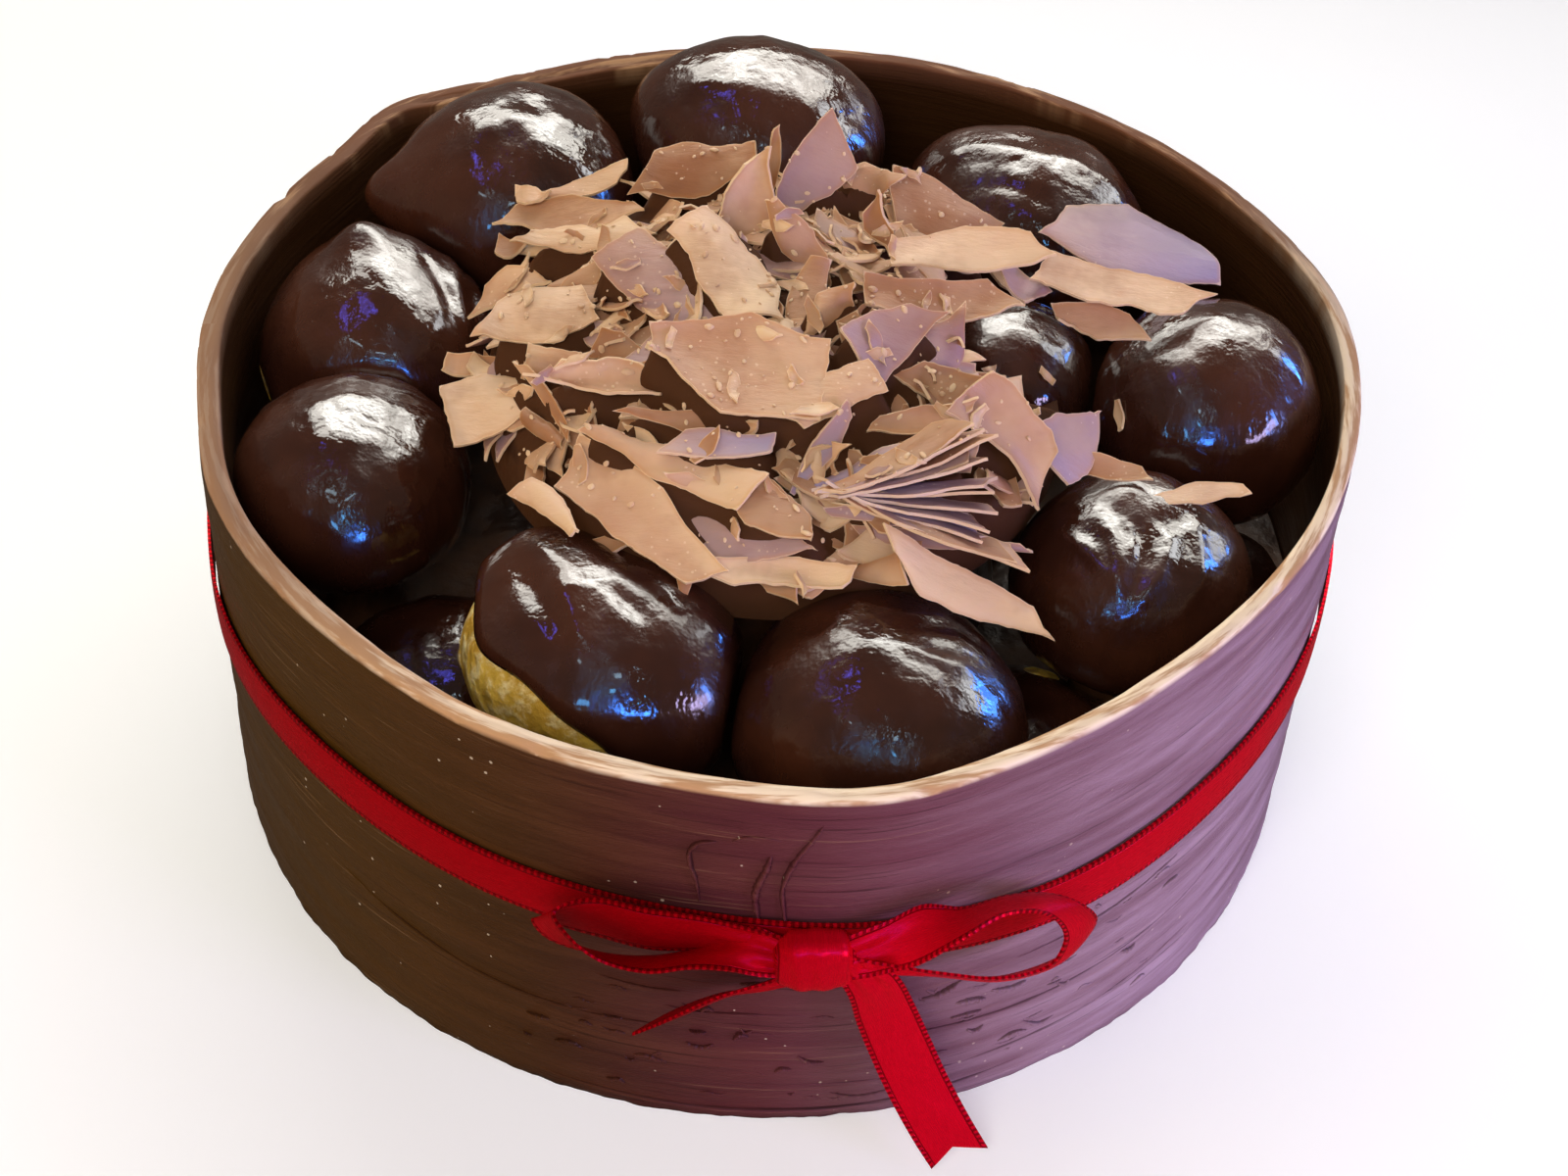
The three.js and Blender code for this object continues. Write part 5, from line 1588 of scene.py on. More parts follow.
@dataclass(frozen=True)
class FlakeMaker:
    """Models one shaving as a broken, slightly curled leaf."""

    along: int = 36
    across: int = 18
    thickness: float = 0.5
    coarse: tuple[float, float] = (1.5, 7.5)
    fine: tuple[float, float] = (0.22, 1.1)
    slant: float = 2.8
    wrinkle: float = 0.20
    rim: float = 1.1

    @staticmethod
    def _corners(draws: Draws, length: float, places: Array, height: float, pitch: float) -> Array:
        """Straight runs between corners at uneven distances, as a broken edge has.

        Args:
            draws: the seeded row.
            length: the edge's length.
            places: where along the edge it is read, from 0 to 1.
            height: how far the corners stand in or out.
            pitch: the usual distance between them.

        Returns:
            How far the edge stands out at each place.
        """
        knots, at = [0.0], 0.0
        while at < 1.0:
            at += draws.between(0.5, 1.6) * pitch / max(length, pitch)
            knots.append(at)
        return np.interp(places, knots, [height * draws.between(-1.0, 0.7) for _ in knots])

    def broken(self, draws: Draws, length: float, places: Array) -> Array:
        """A broken edge: a few large corners with many small ones between them."""
        large = self._corners(draws, length, places, *self.coarse)
        return large + self._corners(draws, length, places, *self.fine)

    def build(self, name: str, flake: Flake, tone: Tone, draws: Draws) -> Piece:
        """Models the flake.

        Args:
            name: its name.
            flake: its place and outline.
            tone: its colour.
            draws: the seeded row that its broken edges are drawn from.

        Returns:
            The flake, with layers named rim and tint, and one for how much painted bluish light shows as
            lilac.
        """
        piece = Modeller.grid(name, self.along, self.across)
        unit = Modeller.read(piece)
        u, v = unit[:, 0] + 0.5, 2.0 * unit[:, 1]
        small = min(1.0, flake.mid / 7.0)
        most = self.slant * small
        slant = most * draws.between(-1.0, 1.0), most * draws.between(-1.0, 1.0)
        start = slant[0] * v - small * self.broken(draws, flake.start, v * 0.5 + 0.5)
        end = flake.length + slant[1] * v + small * self.broken(draws, flake.end, v * 0.5 + 0.5)
        reach = start + (end - start) * u
        s = np.clip(reach / flake.length, 0.0, 1.0)
        half = flake.width(s) / 2.0
        sides = small * self.broken(draws, flake.length, s), small * self.broken(draws, flake.length, s)
        edge = np.maximum(np.where(v > 0, half + sides[0], half + sides[1]), 0.35)
        sideways = flake.middle_line(s) + v * edge
        lift = 0.2 * np.sin(7.0 * s + flake.x + v) - flake.curl * draws.between(-0.75, 0.85) * v * v
        roll = draws.between(0.0, 1.3) * small, draws.between(-0.5, 0.9) * small
        lift = lift + roll[0] * (np.clip(0.35 - s, 0.0, 0.35) / 0.35) ** 2 * 1.6
        lift = lift + roll[1] * (np.clip(s - 0.65, 0.0, 0.35) / 0.35) ** 2 * 1.6
        rumple = np.stack([reach * 0.45, sideways, np.zeros(len(s))], axis=-1)
        lift = lift + self.wrinkle * noise_at(rumple, 3.8, draws.between(0, 40), 2)
        points = flake.centre + np.outer(reach - flake.length / 2.0, flake.along)
        points = points + np.outer(sideways, flake.sideways) + np.outer(lift, flake.face)
        from_edge = np.minimum((1.0 - np.abs(v)) * half, np.minimum(u, 1.0 - u) * flake.length)
        rim = np.clip(1.0 - from_edge / self.rim, 0.0, 1.0)
        Modeller.write(piece, points * MM)
        Modeller.layer(piece, "rim", rim)
        drift = 0.30 * (s - 0.5) * draws.between(-1.0, 1.0) + 0.10 * v * draws.between(-1.0, 1.0)
        Modeller.layer(piece, "tint", np.clip(tone.tint + drift + draws.between(-0.1, 0.1), 0.0, 1.0))
        # painted light: the lilac tint for bluish light, fading along the flake
        Modeller.layer(piece, "painted_cool_light", np.clip(np.full(len(s), tone.painted_cool_light) * (1.1 - 0.7 * s), 0.0, 1.0))
        Modeller.modify(piece, "SOLIDIFY", thickness=self.thickness * MM, offset=-1.0,
                        use_even_offset=False)
        return piece


def toned(piece: Piece, rim: float, tint: float | Array, painted_cool_light: float) -> Piece:
    """Keeps what the finish reads: the broken rim, the tint from dark to pale, and how much painted bluish
    light shows as lilac.
    """
    for name, values in (("rim", rim), ("tint", tint), ("painted_cool_light", painted_cool_light)):
        Modeller.layer(piece, name, np.broadcast_to(values, len(piece.data.vertices)))
    return piece


class Shavings:
    """The heap of shavings over its own core, the loose ones beside it, and its crumbs."""

    FLAKES = (
        (BROWN, -15, 30, 101, 35, -95, 17, 21, 7, 10, 6, 0, 2),
        (TAN, -37.6, 34, 92.6, 20, -120, 17, 17, 1.5, 5, 4, -0.5, 0.5),
        (TAN, -46, 31, 91.6, 15, -150, 156, 7, 2, 5, 4, 0.5, 0.5),
        (TAN, -38, 27, 91, 25, -130, -180, 25, 4, 7, 5, 0, 1),
        (PALE, -35, 12, 98, 20, -110, 6, 22, 1, 7, 5, -1, 1),
        (BROWN, -48.6, 25.4, 85.2, 20, -150, 158, 7, 3, 5, 4, 1, 0.5),
        (PALE, -40, -11, 98.3, 15, -100, 17, 19, 6, 12, 8, 0, 1.2),
        (TAN, -47, 6, 89, 30, -160, 6, 14, 5, 9, 3, 2, 1),
        (BROWN, -52, -11, 86, 20, -140, -5, 9, 4, 6, 4, 0, 0.5),
        (TAN, -33, -20, 96, 45, -80, 174, 17, 1.5, 5, 4, 1, 1),
        (BROWN, -26, -20, 99, 50, -90, 162, 9, 3, 6, 5, 0, 1),
        (PALE, -46, -24, 90, 15, -130, 20, 18, 14, 12, 4, 0.5, 0.6),
        (TAN, -27, -29, 99, 30, -90, 177, 22, 4, 7, 2, -0.5, 2.5),
        (BROWN, -13, -37, 99, 30, -80, 173, 21, 2, 5, 2, 0, 0.6),
        (BROWN, -37, -29, 95, 60, -130, 106, 16, 1.5, 3, 1.5, -0.5, 0.5),
        (LILAC, -7.5, -42, 99, 15, -90, 179, 16, 4, 5, 4.5, 0.5, 0.3),
        (TAN, -16, -44, 97, 25, -100, 155, 30, 6, 8, 3, 0.5, 1),
        (BROWN, -1, -50, 95, 20, -80, 150, 20, 4, 10, 3, 0.5, 0.8),
        (TAN, -20, -51.7, 91.7, 25, -110, 137, 32, 6, 13, 10, 0, 1.5),
        (MAUVE, -7, -51, 92, 25, -100, 158, 31, 4, 10, 5, 2, 1),
        (PALE, 2, -60, 88, 20, -90, 176, 23, 5, 8, 3, -1, 0.8),
        (PALE, -34.5, -50.3, 91, 35, -120, 134, 13, 3, 5, 5, -1, 1.5),
        (BROWN, -37, -33, 92, 55, -120, 132, 10, 3, 4, 2, 0, 1.5),
        (TAN, -6, -28, 105, 20, -85, 167, 30, 14, 20, 5, 1, 1.5),
        (PALE, -9.5, -7, 107, 18, -70, 124, 23, 9, 13, 9, -1, 1),
        (MAUVE, -19.5, -8, 104, 25, -110, 132, 24, 6, 13, 9, 1, 1),
        (MAUVE, 19, -21, 105, 35, -60, 49, 17, 12, 10, 4, 1, 1.5),
        (TAN, 10, -34, 103, 25, -90, 38, 17, 2, 7, 9, 0.5, 1),
        (LILAC, 8, -41, 98, 55, -70, 81, 17, 2, 4, 2.5, 0, 0.8),
        (TAN, 24, -33, 100, 40, -90, 19, 17, 2, 4, 1.5, -1, 0.6),
        (LILAC, 19, -43, 96, 45, -90, 21, 28, 3, 6, 6.5, 0.5, 2.5),
        (LILAC, 21, -49, 91, 40, -80, 176, 24, 4, 4, 1.5, -0.5, 0.6),
        (MAUVE, 28, -50, 88, 45, -80, 176, 27, 1.5, 3, 2.5, 0, 0.5),
        (TAN, 37, -33, 95, 45, -50, 144, 22, 7, 11, 12, -2.5, 2.5),
        (MAUVE, 49, -23, 89, 40, -30, 49, 19, 12, 11, 2, -2, 1),
        (TAN, 17, -57, 88, 50, -140, -179, 11, 7, 4, 1.5, 0.5, 1.2),
        (PALE, 32, -59, 86, 40, -60, 158, 28, 5, 7, 5, 1, 1.8),
        (BROWN, 26, -25, 99, 40, -80, 155, 12, 7, 6, 4, 0, 1),
        (MAUVE, 27, -16, 101, 45, -60, 65, 11, 4, 9, 4, -1.5, 1),
        (TAN, -6, 14, 106, 60, -80, 94, 14, 10, 10, 3, 0.5, 2.5),
        (BROWN, -3, 27, 105, 70, -90, -92, 11, 1, 2.5, 2.5, 0.5, 0.5),
        (MAUVE, 4, 23.5, 105, 55, -75, 68, 18, 5, 10, 10, 0, 2.5),
        (TAN, 13, 27, 102, 60, -100, -13, 10, 3, 8, 6, 0, 2),
        (BROWN, 17, 11, 105, 60, -110, 91, 8, 3, 5, 3, 1.5, 1),
        (BROWN, 29.5, 26.5, 96, 35, -60, -6, 21, 13, 9, 4, 0.5, 1),
        (PALE, 32, 6, 103, 12, -90, 9, 27, 7, 11, 4, 0, 1),
        (BROWN, 26, -5, 103, 30, -70, -175, 26, 6, 8, 5, 1.5, 1.2),
        (MAUVE, 40, 8, 96, 35, -20, 154, 9, 7, 6, 2, 0, 0.6),
        (TAN, 9, -16, 106, 50, -80, -120, 11, 5, 7, 4, -1.5, 1.5),
        (BROWN, 3, 2, 107, 60, -90, 113, 16, 3, 7, 3, 1.5, 1.5),
    )
    LOOSE = (
        (LILAC, 62, 26.5, 92, 22, -35, 180, 32, 8, 19, 8, 0, 2),
        (PALE, 58.5, 9.8, 95, 14, -75, 172, 28, 5, 10, 8, 0.5, 1),
        (TAN, 55, 4.6, 90.8, 30, -80, 177, 16, 4, 8, 3, 0.5, 0.6),
    )
    BITS = (
        (PALE, 59.4, -6.6, 79.4, 62, -150, 62, 5.5, 0.8, 2.0, 1.2, 0, 0.2),
        (PALE, 47.2, 1.4, 80.6, 42, -90, 130, 3.4, 0.8, 1.6, 1.0, 0, 0.2),
        (PALE, 37.0, 0.4, 82.2, 34, -110, 20, 2.2, 0.8, 1.5, 1.0, 0, 0.1),
        (PALE, 71, -30, 82.6, 30, -90, 12, 16, 2, 4, 2, 0.5, 0.8),
        (TAN, 55, -26, 84.2, 34, -100, 168, 15, 2, 4.5, 3, 0, 0.8),
    )
    SEED = 53
    HOLLOW = 1.12
    # painted shade: the core's tint gives it the deep colour of the shade between leaves
    CORE_SHADE_TINT = -1.0

    def __init__(self, heap: Heap, shown: Bun) -> None:
        """Starts the heap."""
        self.heap = heap
        self.shown = shown
        self.maker = FlakeMaker()

    def _over_shown(self, x: Array, y: Array) -> Array:
        """How far out a place is over the bun that shows, as a share of its radius."""
        middle = self.shown.centre
        return np.hypot(np.asarray(x) - middle[0], np.asarray(y) - middle[1]) / self.shown.along

    def _bares_bun(self, x: float, y: float) -> bool:
        """Whether something that lies at a place would hide the bun that shows."""
        return bool(self._over_shown(x - 3.0, y + 9.0) < self.HOLLOW)

    def build(self, paints: Paints) -> list[Piece]:
        """Models, paints and places the heap and the loose shavings."""
        draws = Draws(self.SEED)
        core = self._core()
        rows = [*flakes(self.FLAKES), *Fan().leaves(draws)]
        leaves = [self.maker.build(f"leaf_{i}", flake, tone, draws)
                  for i, (flake, tone) in enumerate(rows)]
        leaves = Modeller.joined("leaves", leaves)
        under = Modeller.joined("under_leaves", self._under_leaves(draws))
        shards = Modeller.joined("shards", self._shards(draws, (core, leaves, under)))
        for piece in (leaves, under, shards):
            Modeller.smooth(piece, 42.0)
        pieces = [core, leaves, under, shards]
        loose = []
        for i, (flake, tone) in enumerate(flakes(self.LOOSE)):
            piece = self.maker.build(f"loose_{i + 1}", flake, tone, draws)
            Modeller.smooth(piece, 42.0)
            Modeller.done(piece, paints.milk, "milk_chocolate", f"loose_shaving_{i + 1}")
            loose.append(piece)
        pieces.append(self._crumbs(draws, (core, leaves, under, shards, *loose)))
        for piece in pieces:
            Modeller.done(piece, paints.milk, "milk_chocolate", "shavings")
        return pieces + loose

    def _somewhere(self, draws: Draws, reach: float) -> tuple[float, float, float]:
        """A place drawn evenly inside the heap's outline, and the bearing outwards from its middle."""
        turn, out = 2.0 * math.pi * draws.next(), reach * math.sqrt(draws.next())
        x = self.heap.x + self.heap.radius_x * out * math.cos(turn)
        y = self.heap.y + self.heap.radius_y * out * math.sin(turn)
        return x, y, math.degrees(turn)

    def _under_leaves(self, draws: Draws, count: int = 240) -> list[Piece]:
        """Shorter leaves that fill the heap under the large ones, leaning every way."""
        maker = FlakeMaker(along=16, across=8, coarse=(1.0, 3.8), rim=0.9)
        tones = (BROWN, BROWN, TAN, TAN, PALE, MAUVE)
        made = []
        for i in range(count):
            x, y, outward = self._somewhere(draws, 0.93)
            out = math.hypot((x - self.heap.x) / self.heap.radius_x,
                             (y - self.heap.y) / self.heap.radius_y)
            level = float(self.heap.height(np.array(x), np.array(y))) - 2.5 + 2.3 * draws.next()
            lean = draws.between(8.0, 26.0 + 30.0 * out)
            facing = outward + draws.between(-65.0, 65.0)
            flake = Flake(x, y, level, lean, facing, draws.between(0.0, 360.0), draws.between(8.0, 17.0),
                          draws.between(1.5, 5.0), draws.between(3.5, 8.5), draws.between(1.5, 5.0),
                          draws.between(-1.0, 1.0), draws.between(0.2, 1.6))
            tone = tones[int(draws.next() * len(tones))]
            if not self._bares_bun(x, y):
                made.append(maker.build(f"under_{i}", flake, tone, draws))
        return made

    @staticmethod
    def _landing(x: float, y: float, carriers: Sequence[Piece]) -> tuple[float, Vector] | None:
        """Where something dropped at a place comes to lie.

        Args:
            x: the place in millimetres.
            y: the place in millimetres.
            carriers: what it may land on.

        Returns:
            The height in millimetres and the surface's direction, or None where nothing is under it.
        """
        best = None
        for carrier in carriers:
            hit, at, normal, _ = carrier.ray_cast(Vector((x * MM, y * MM, 0.2)), Vector((0, 0, -1)))
            if hit and (best is None or at.z / MM > best[0]):
                best = (at.z / MM, normal)
        return best

    def _shards(self, draws: Draws, carriers: Sequence[Piece], count: int = 96) -> list:
        """Small splinters that have dropped on the heap."""
        maker = FlakeMaker(along=8, across=4, thickness=0.4, coarse=(0.5, 1.6), fine=(0.15, 0.7), rim=0.7)
        tones = (BROWN, TAN, TAN, PALE, PALE, MAUVE)
        bpy.context.view_layer.update()
        made = []
        for i in range(count):
            x, y, _ = self._somewhere(draws, 0.90)
            landing = self._landing(x, y, carriers)
            slope = landing[1]
            steep = math.degrees(math.acos(min(1.0, max(-1.0, slope.z))))
            lean = min(70.0, steep + draws.between(0.0, 22.0))
            facing = math.degrees(math.atan2(slope.y, slope.x)) + draws.between(-30.0, 30.0)
            size = draws.between(0.35, 1.0)
            flake = Flake(x, y, landing[0] + 0.35, lean, facing, draws.between(0.0, 360.0),
                          6.0 * size + 1.0, 1.3 * size, 2.6 * size + 0.4, 1.3 * size,
                          draws.between(-0.4, 0.4), draws.between(0.0, 0.5))
            tone = tones[int(draws.next() * len(tones))]
            if not self._bares_bun(x, y):
                made.append(maker.build(f"shard_{i}", flake, tone, draws))
        for i, (flake, tone) in enumerate(flakes(self.BITS)):
            made.append(maker.build(f"bit_{i}", flake, tone, draws))
        return made

    def _crumbs(self, draws: Draws, carriers: Sequence[Piece], count: int = 560) -> Piece:
        """Crumbs on the shavings, as copies of a few chipped pebbles."""
        kinds = [self._chip(f"chip_{i}", draws) for i in range(4)]
        corners = [Modeller.read(kind) for kind in kinds]
        faces = [[tuple(face.vertices) for face in kind.data.polygons] for kind in kinds]
        all_corners, all_faces, tints = [], [], []
        bpy.context.view_layer.update()
        for _ in range(count):
            x, y, _ = self._somewhere(draws, 0.90)
            landing = self._landing(x, y, carriers)
            kind = int(draws.next() * len(kinds))
            size = 0.18 + 0.44 * draws.next() ** 2.2
            spin = np.array(Matrix.Rotation(2.0 * math.pi * draws.next(), 3, "Z"))
            tip = np.array(landing[1].to_track_quat("Z", "Y").to_matrix())
            stretch = np.array((draws.between(0.8, 1.7), draws.between(0.6, 1.1),
                                draws.between(0.35, 0.7)))
            placed = (corners[kind] * stretch * size) @ spin.T @ tip.T
            if self._bares_bun(x, y):
                continue
            placed = placed + np.array((x, y, landing[0] + 0.12))
            start = sum(len(rows) for rows in all_corners)
            all_corners.append(placed)
            all_faces += [tuple(start + corner for corner in face) for face in faces[kind]]
            tints += [draws.between(0.75, 1.0)] * len(placed)
        for kind in kinds:
            bpy.data.objects.remove(kind)
        mesh = bpy.data.meshes.new("crumbs")
        mesh.from_pydata((np.vstack(all_corners) * MM).tolist(), [], all_faces)
        piece = bpy.data.objects.new("crumbs", mesh)
        bpy.context.scene.collection.objects.link(piece)
        return toned(piece, 0.0, np.array(tints), 0.0)

    @staticmethod
    def _chip(name: str, draws: Draws) -> Piece:
        """A small pebble with knocked-off corners."""
        bpy.ops.mesh.primitive_ico_sphere_add(subdivisions=2, radius=1.0)
        piece = Modeller.added(name)
        unit = Modeller.read(piece)
        Modeller.write(piece, unit * (1.0 + 0.3 * noise_at(unit, 0.9, draws.between(0, 30), 2))[:, None])
        return piece

    def _core(self, rings: int = 60, sides: int = 180) -> Piece:
        """Models the crumbly body of the heap under the leaves, painted dark as the shade between them."""
        heap = self.heap
        section = [(1e-4, 0.0), (heap.reach, 0.0)]
        section += [(heap.reach * (1.0 - i / rings), 1.0) for i in range(rings)] + [(1e-4, 1.0)]
        piece = Modeller.turned("core", section, sides, closed=False)
        unit = Modeller.read(piece)
        x, y = heap.x + unit[:, 0] * heap.radius_x, heap.y + unit[:, 1] * heap.radius_y
        flat = np.stack([x, y, np.zeros(len(x))], axis=-1)
        plain = heap.height(x, y) - heap.sink + 1.4 * noise_at(flat, 6.0, 21.0, 4)
        carried = np.full(len(x), -1e3)
        for flake, _ in flakes(self.FLAKES):
            level = flake.over(x, y)
            carried = np.maximum(carried, np.where(level < plain + 11.0, level - 1.1, -1e3))
        out = self._over_shown(x, y)
        bun_top = self.shown.centre[2] + self.shown.up * np.sqrt(np.clip(1.0 - out * out, 0.0, 1.0)) - 1.5
        past = 70.0 + 34.0 * (out - 1.0) + 22.0 * smooth_step(-2.0, 10.0, y - self.shown.centre[1])
        dip = np.where(out < 1.0, np.maximum(bun_top, 70.0), past)
        top = np.maximum(np.minimum(np.maximum(plain, carried), dip), heap.bottom + 0.3)
        points = np.stack([x, y, np.where(unit[:, 2] < 0.5, heap.bottom, top)], axis=-1)
        Modeller.write(piece, points * MM)
        Modeller.modify(piece, "SMOOTH", factor=0.5, iterations=9)
        points[:, 2] = np.where(unit[:, 2] < 0.5, heap.bottom, Modeller.read(piece)[:, 2] / MM)
        Modeller.write(piece, points * MM)
        Modeller.outward(piece)
        Modeller.smooth(piece, 50.0)
        return toned(piece, 0.0, self.CORE_SHADE_TINT, 0.0)


# ---- ribbon


@dataclass(frozen=True)
class Place:
    """One place of a ribbon: a point on its edge, the direction to its other edge, and its width."""

    edge: Point
    across: Point
    width: float


def spline(points: Array, t: Array) -> Array:
    """A smooth curve through points, spaced by the square root of their distances.

    Args:
        points: the points, one row each.
        t: places along the curve from 0 to 1.

    Returns:
        The curve's points.
    """
    count = len(points)
    place = np.clip(t, 0.0, 1.0) * (count - 1)
    first = np.minimum(place.astype(int), count - 2)
    weight = (place - first)[:, None]
    padded = np.vstack([2 * points[0] - points[1], points, 2 * points[-1] - points[-2]])
    p0, p1, p2, p3 = (padded[first + k] for k in range(4))
    d0, d1, d2 = (np.maximum(np.linalg.norm(b - a, axis=1)[:, None], 1e-6) ** 0.5
                  for a, b in ((p0, p1), (p1, p2), (p2, p3)))
    t1 = ((p1 - p0) / d0 - (p2 - p0) / (d0 + d1) + (p2 - p1) / d1) * d1
    t2 = ((p2 - p1) / d1 - (p3 - p1) / (d1 + d2) + (p3 - p2) / d2) * d1
    square, cube = weight ** 2, weight ** 3
    return (p1 + t1 * weight + (-3 * p1 + 3 * p2 - 2 * t1 - t2) * square
            + (2 * p1 - 2 * p2 + t1 + t2) * cube)


@dataclass(frozen=True)
class RibbonPiece:
    """The satin ribbon: a band round the collar, a knot, two loops and two tails."""

    collar: CollarShape
    width: float = 10.0
    thickness: float = 0.6
    band_height: float = 50.0
    band_off: float = 0.5
    bow_off: float = 0.9
    drifts: tuple[Bell, ...] = (Bell(-135, 40, 2.0), Bell(-60, 16, -3.6), Bell(-35, 22, -1.2))
    left_loop: tuple[Place, ...] = (
        Place((6, -103.2, 54), (0, 0.15, -1), 6), Place((-6, -103.2, 57.5), (0, 0.05, -1), 9),
        Place((-14.4, -103, 58.5), (0, 0, -1), 10), Place((-23.5, -101.6, 58.5), (-0.05, 0.1, -1), 10),
        Place((-28.8, -103.4, 57), (-0.42, 0.45, -0.78), 10),
        Place((-26.6, -106.8, 56.3), (-0.42, 0.5, -0.76), 10),
        Place((-21.7, -109.9, 54.6), (-0.15, 0.66, -0.74), 10),
        Place((-14.2, -111.1, 53.5), (0, 0.78, -0.63), 10),
        Place((-7.8, -109.9, 53.2), (0.03, 0.84, -0.54), 9.5),
        Place((-2.6, -108.8, 51.5), (0, 1, -0.1), 8.5),
        Place((1.6, -107.6, 49.3), (0, 0.7, 0.7), 7.5), Place((7, -106.2, 47.6), (0, 0.3, 0.95), 6.5),
    )
    right_loop: tuple[Place, ...] = (
        Place((14.5, -106, 47.4), (0.05, 0.3, 0.95), 7),
        Place((20.5, -105.6, 48.6), (0.02, 0.4, 0.92), 8.6),
        Place((26.3, -107.4, 53.4), (0.05, 0.9, 0.44), 9.6),
        Place((32.6, -107.4, 60.2), (0.08, 0.93, -0.36), 10),
        Place((38.6, -104.6, 63.2), (0.12, 0.82, -0.56), 10),
        Place((43.8, -102.2, 61.6), (0.3, 0.78, -0.55), 10),
        Place((47.8, -100.4, 57), (0.46, 0.74, -0.48), 10),
        Place((49.4, -99.8, 51.6), (0.55, 0.74, -0.36), 10),
        Place((47.6, -101.2, 47.6), (0.42, 0.72, -0.55), 10),
        Place((40, -105, 48.8), (0.12, 0.6, -0.79), 10),
        Place((31, -106.8, 51.6), (0.05, 0.55, -0.83), 9.6),
        Place((22.5, -106.2, 52.4), (0.03, 0.42, -0.9), 8),
        Place((15, -104.8, 52.4), (0, 0.3, -0.95), 6.5),
    )
    left_tail: tuple[Place, ...] = (
        Place((8.5, -105.4, 49), (0.1, 0.3, -0.95), 6.5),
        Place((3, -106.4, 46.2), (0.15, 0.5, -0.86), 8.5),
        Place((-3.6, -107.6, 43), (0.12, 0.68, -0.72), 9),
        Place((-10.4, -107.8, 38), (0.1, 0.7, -0.7), 7.5),
        Place((-16.9, -107, 31.8), (0.1, 0.7, -0.7), 1.2),
    )
    right_tail: tuple[Place, ...] = (
        Place((13.6, -105.6, 49.5), (0.9, 0.1, 0.42), 6.5),
        Place((16.4, -105.2, 43), (0.94, 0.14, 0.3), 8.4),
        Place((18.2, -104.6, 35), (0.94, 0.2, 0.27), 9.6), Place((21, -104.8, 26), (0.93, 0.24, 0.29), 10),
        Place((24.6, -106, 17), (0.92, 0.28, 0.3), 10), Place((28.8, -107.8, 8.6), (0.92, 0.3, 0.26), 10),
        Place((32.6, -108.9, 1.4), (0.93, 0.32, 0.22), 10),
    )
    notch_depth: float = 3.2
    knot: Point = (11.0, -104.6, 50.2)
    knot_half: Point = (6.3, 3.4, 5.5)
    knot_power: float = 3.0
    per_place: int = 12
    rows: int = 24
    pleat: float = 0.42
    pleat_reach: float = 9.0
    pleats: float = 2.5

    def build(self, paints: Paints) -> list[Piece]:
        """Models, paints and places the whole ribbon."""
        pieces = [
            self._band(), self._knot(),
            self._strip("left_loop", self.left_loop, loop=True),
            self._strip("right_loop", self.right_loop, loop=True),
            self._strip("left_tail", self.left_tail),
            self._strip("right_tail", self.right_tail, notch=True),
        ]
        for piece in pieces:
            Modeller.smooth(piece, 60.0)
            Modeller.done(piece, paints.satin, "satin_ribbon", "ribbon")
        return pieces

    def off_wall(self, points: Array, distance: float) -> Array:
        """Moves points that are too near the collar straight outwards."""
        bearing, radius = bearing_of(points), np.hypot(points[..., 0], points[..., 1])
        least = self.collar.outer(bearing, np.clip(points[..., 2], 0.0, self.collar.height)) + distance
        share = np.maximum(least / radius, 1.0)
        return points * np.stack([share, share, np.ones_like(share)], axis=-1)

    @staticmethod
    def _run(piece: Piece, along: Array) -> None:
        """Stretches a piece's UV map, so that it runs along the ribbon in millimetres."""
        layer = piece.data.uv_layers.active
        flat = np.zeros(len(layer.data) * 2)
        layer.data.foreach_get("uv", flat)
        uv = flat.reshape(-1, 2)
        uv[:, 0] = np.interp(uv[:, 0], np.linspace(0.0, 1.0, len(along)), along)
        layer.data.foreach_set("uv", uv.reshape(-1))

    def _strip(self, name: str, places: Sequence[Place], loop: bool = False, notch: bool = False) -> Piece:
        """Models one length of ribbon through its places."""
        steps = (len(places) - 1) * self.per_place
        piece = Modeller.grid(name, steps, self.rows)
        unit = Modeller.read(piece)
        t, v = np.clip(unit[:, 0] + 0.5, 0.0, 1.0), unit[:, 1] + 0.5
        near = np.array([place.edge for place in places], float)
        way = np.array([place.across for place in places], float)
        way = way / np.linalg.norm(way, axis=1, keepdims=True)
        far = near + way * np.array([place.width for place in places])[:, None]
        a, b = spline(near, t), spline(far, t)
        ahead = spline(near, np.clip(t + 1e-3, 0, 1)) - spline(near, np.clip(t - 1e-3, 0, 1))
        face = np.cross(ahead, b - a)
        face = face / np.linalg.norm(face, axis=1, keepdims=True)
        points = a + (b - a) * v[:, None]
        cup = 0.35 * (1.0 - (2.0 * v - 1.0) ** 2) + 0.18 * np.sin(9.0 * t + 4.0 * v)
        run_length = np.interp(t, *self._lengths(near))
        from_knot = np.minimum(run_length, run_length.max() - run_length) if loop else run_length
        pleats = self.pleat * np.exp(-((from_knot / self.pleat_reach) ** 2))
        pleats = pleats * np.cos(self.pleats * 2.0 * math.pi * v)
        points = points + face * (cup + pleats)[:, None]
        if notch:
            run = ahead / np.linalg.norm(ahead, axis=1, keepdims=True)
            cut = self.notch_depth * (1.0 - np.abs(2.0 * v - 1.0)) * smooth_step(0.9, 1.0, t)
            points = points - run * cut[:, None]
        points = self.off_wall(points, self.bow_off)
        Modeller.write(piece, points * MM)
        self._run(piece, np.interp(np.linspace(0.0, 1.0, steps + 1), *self._lengths(near)))
        Modeller.modify(piece, "SOLIDIFY", thickness=self.thickness * 0.7 * MM, offset=0.0)
        return piece

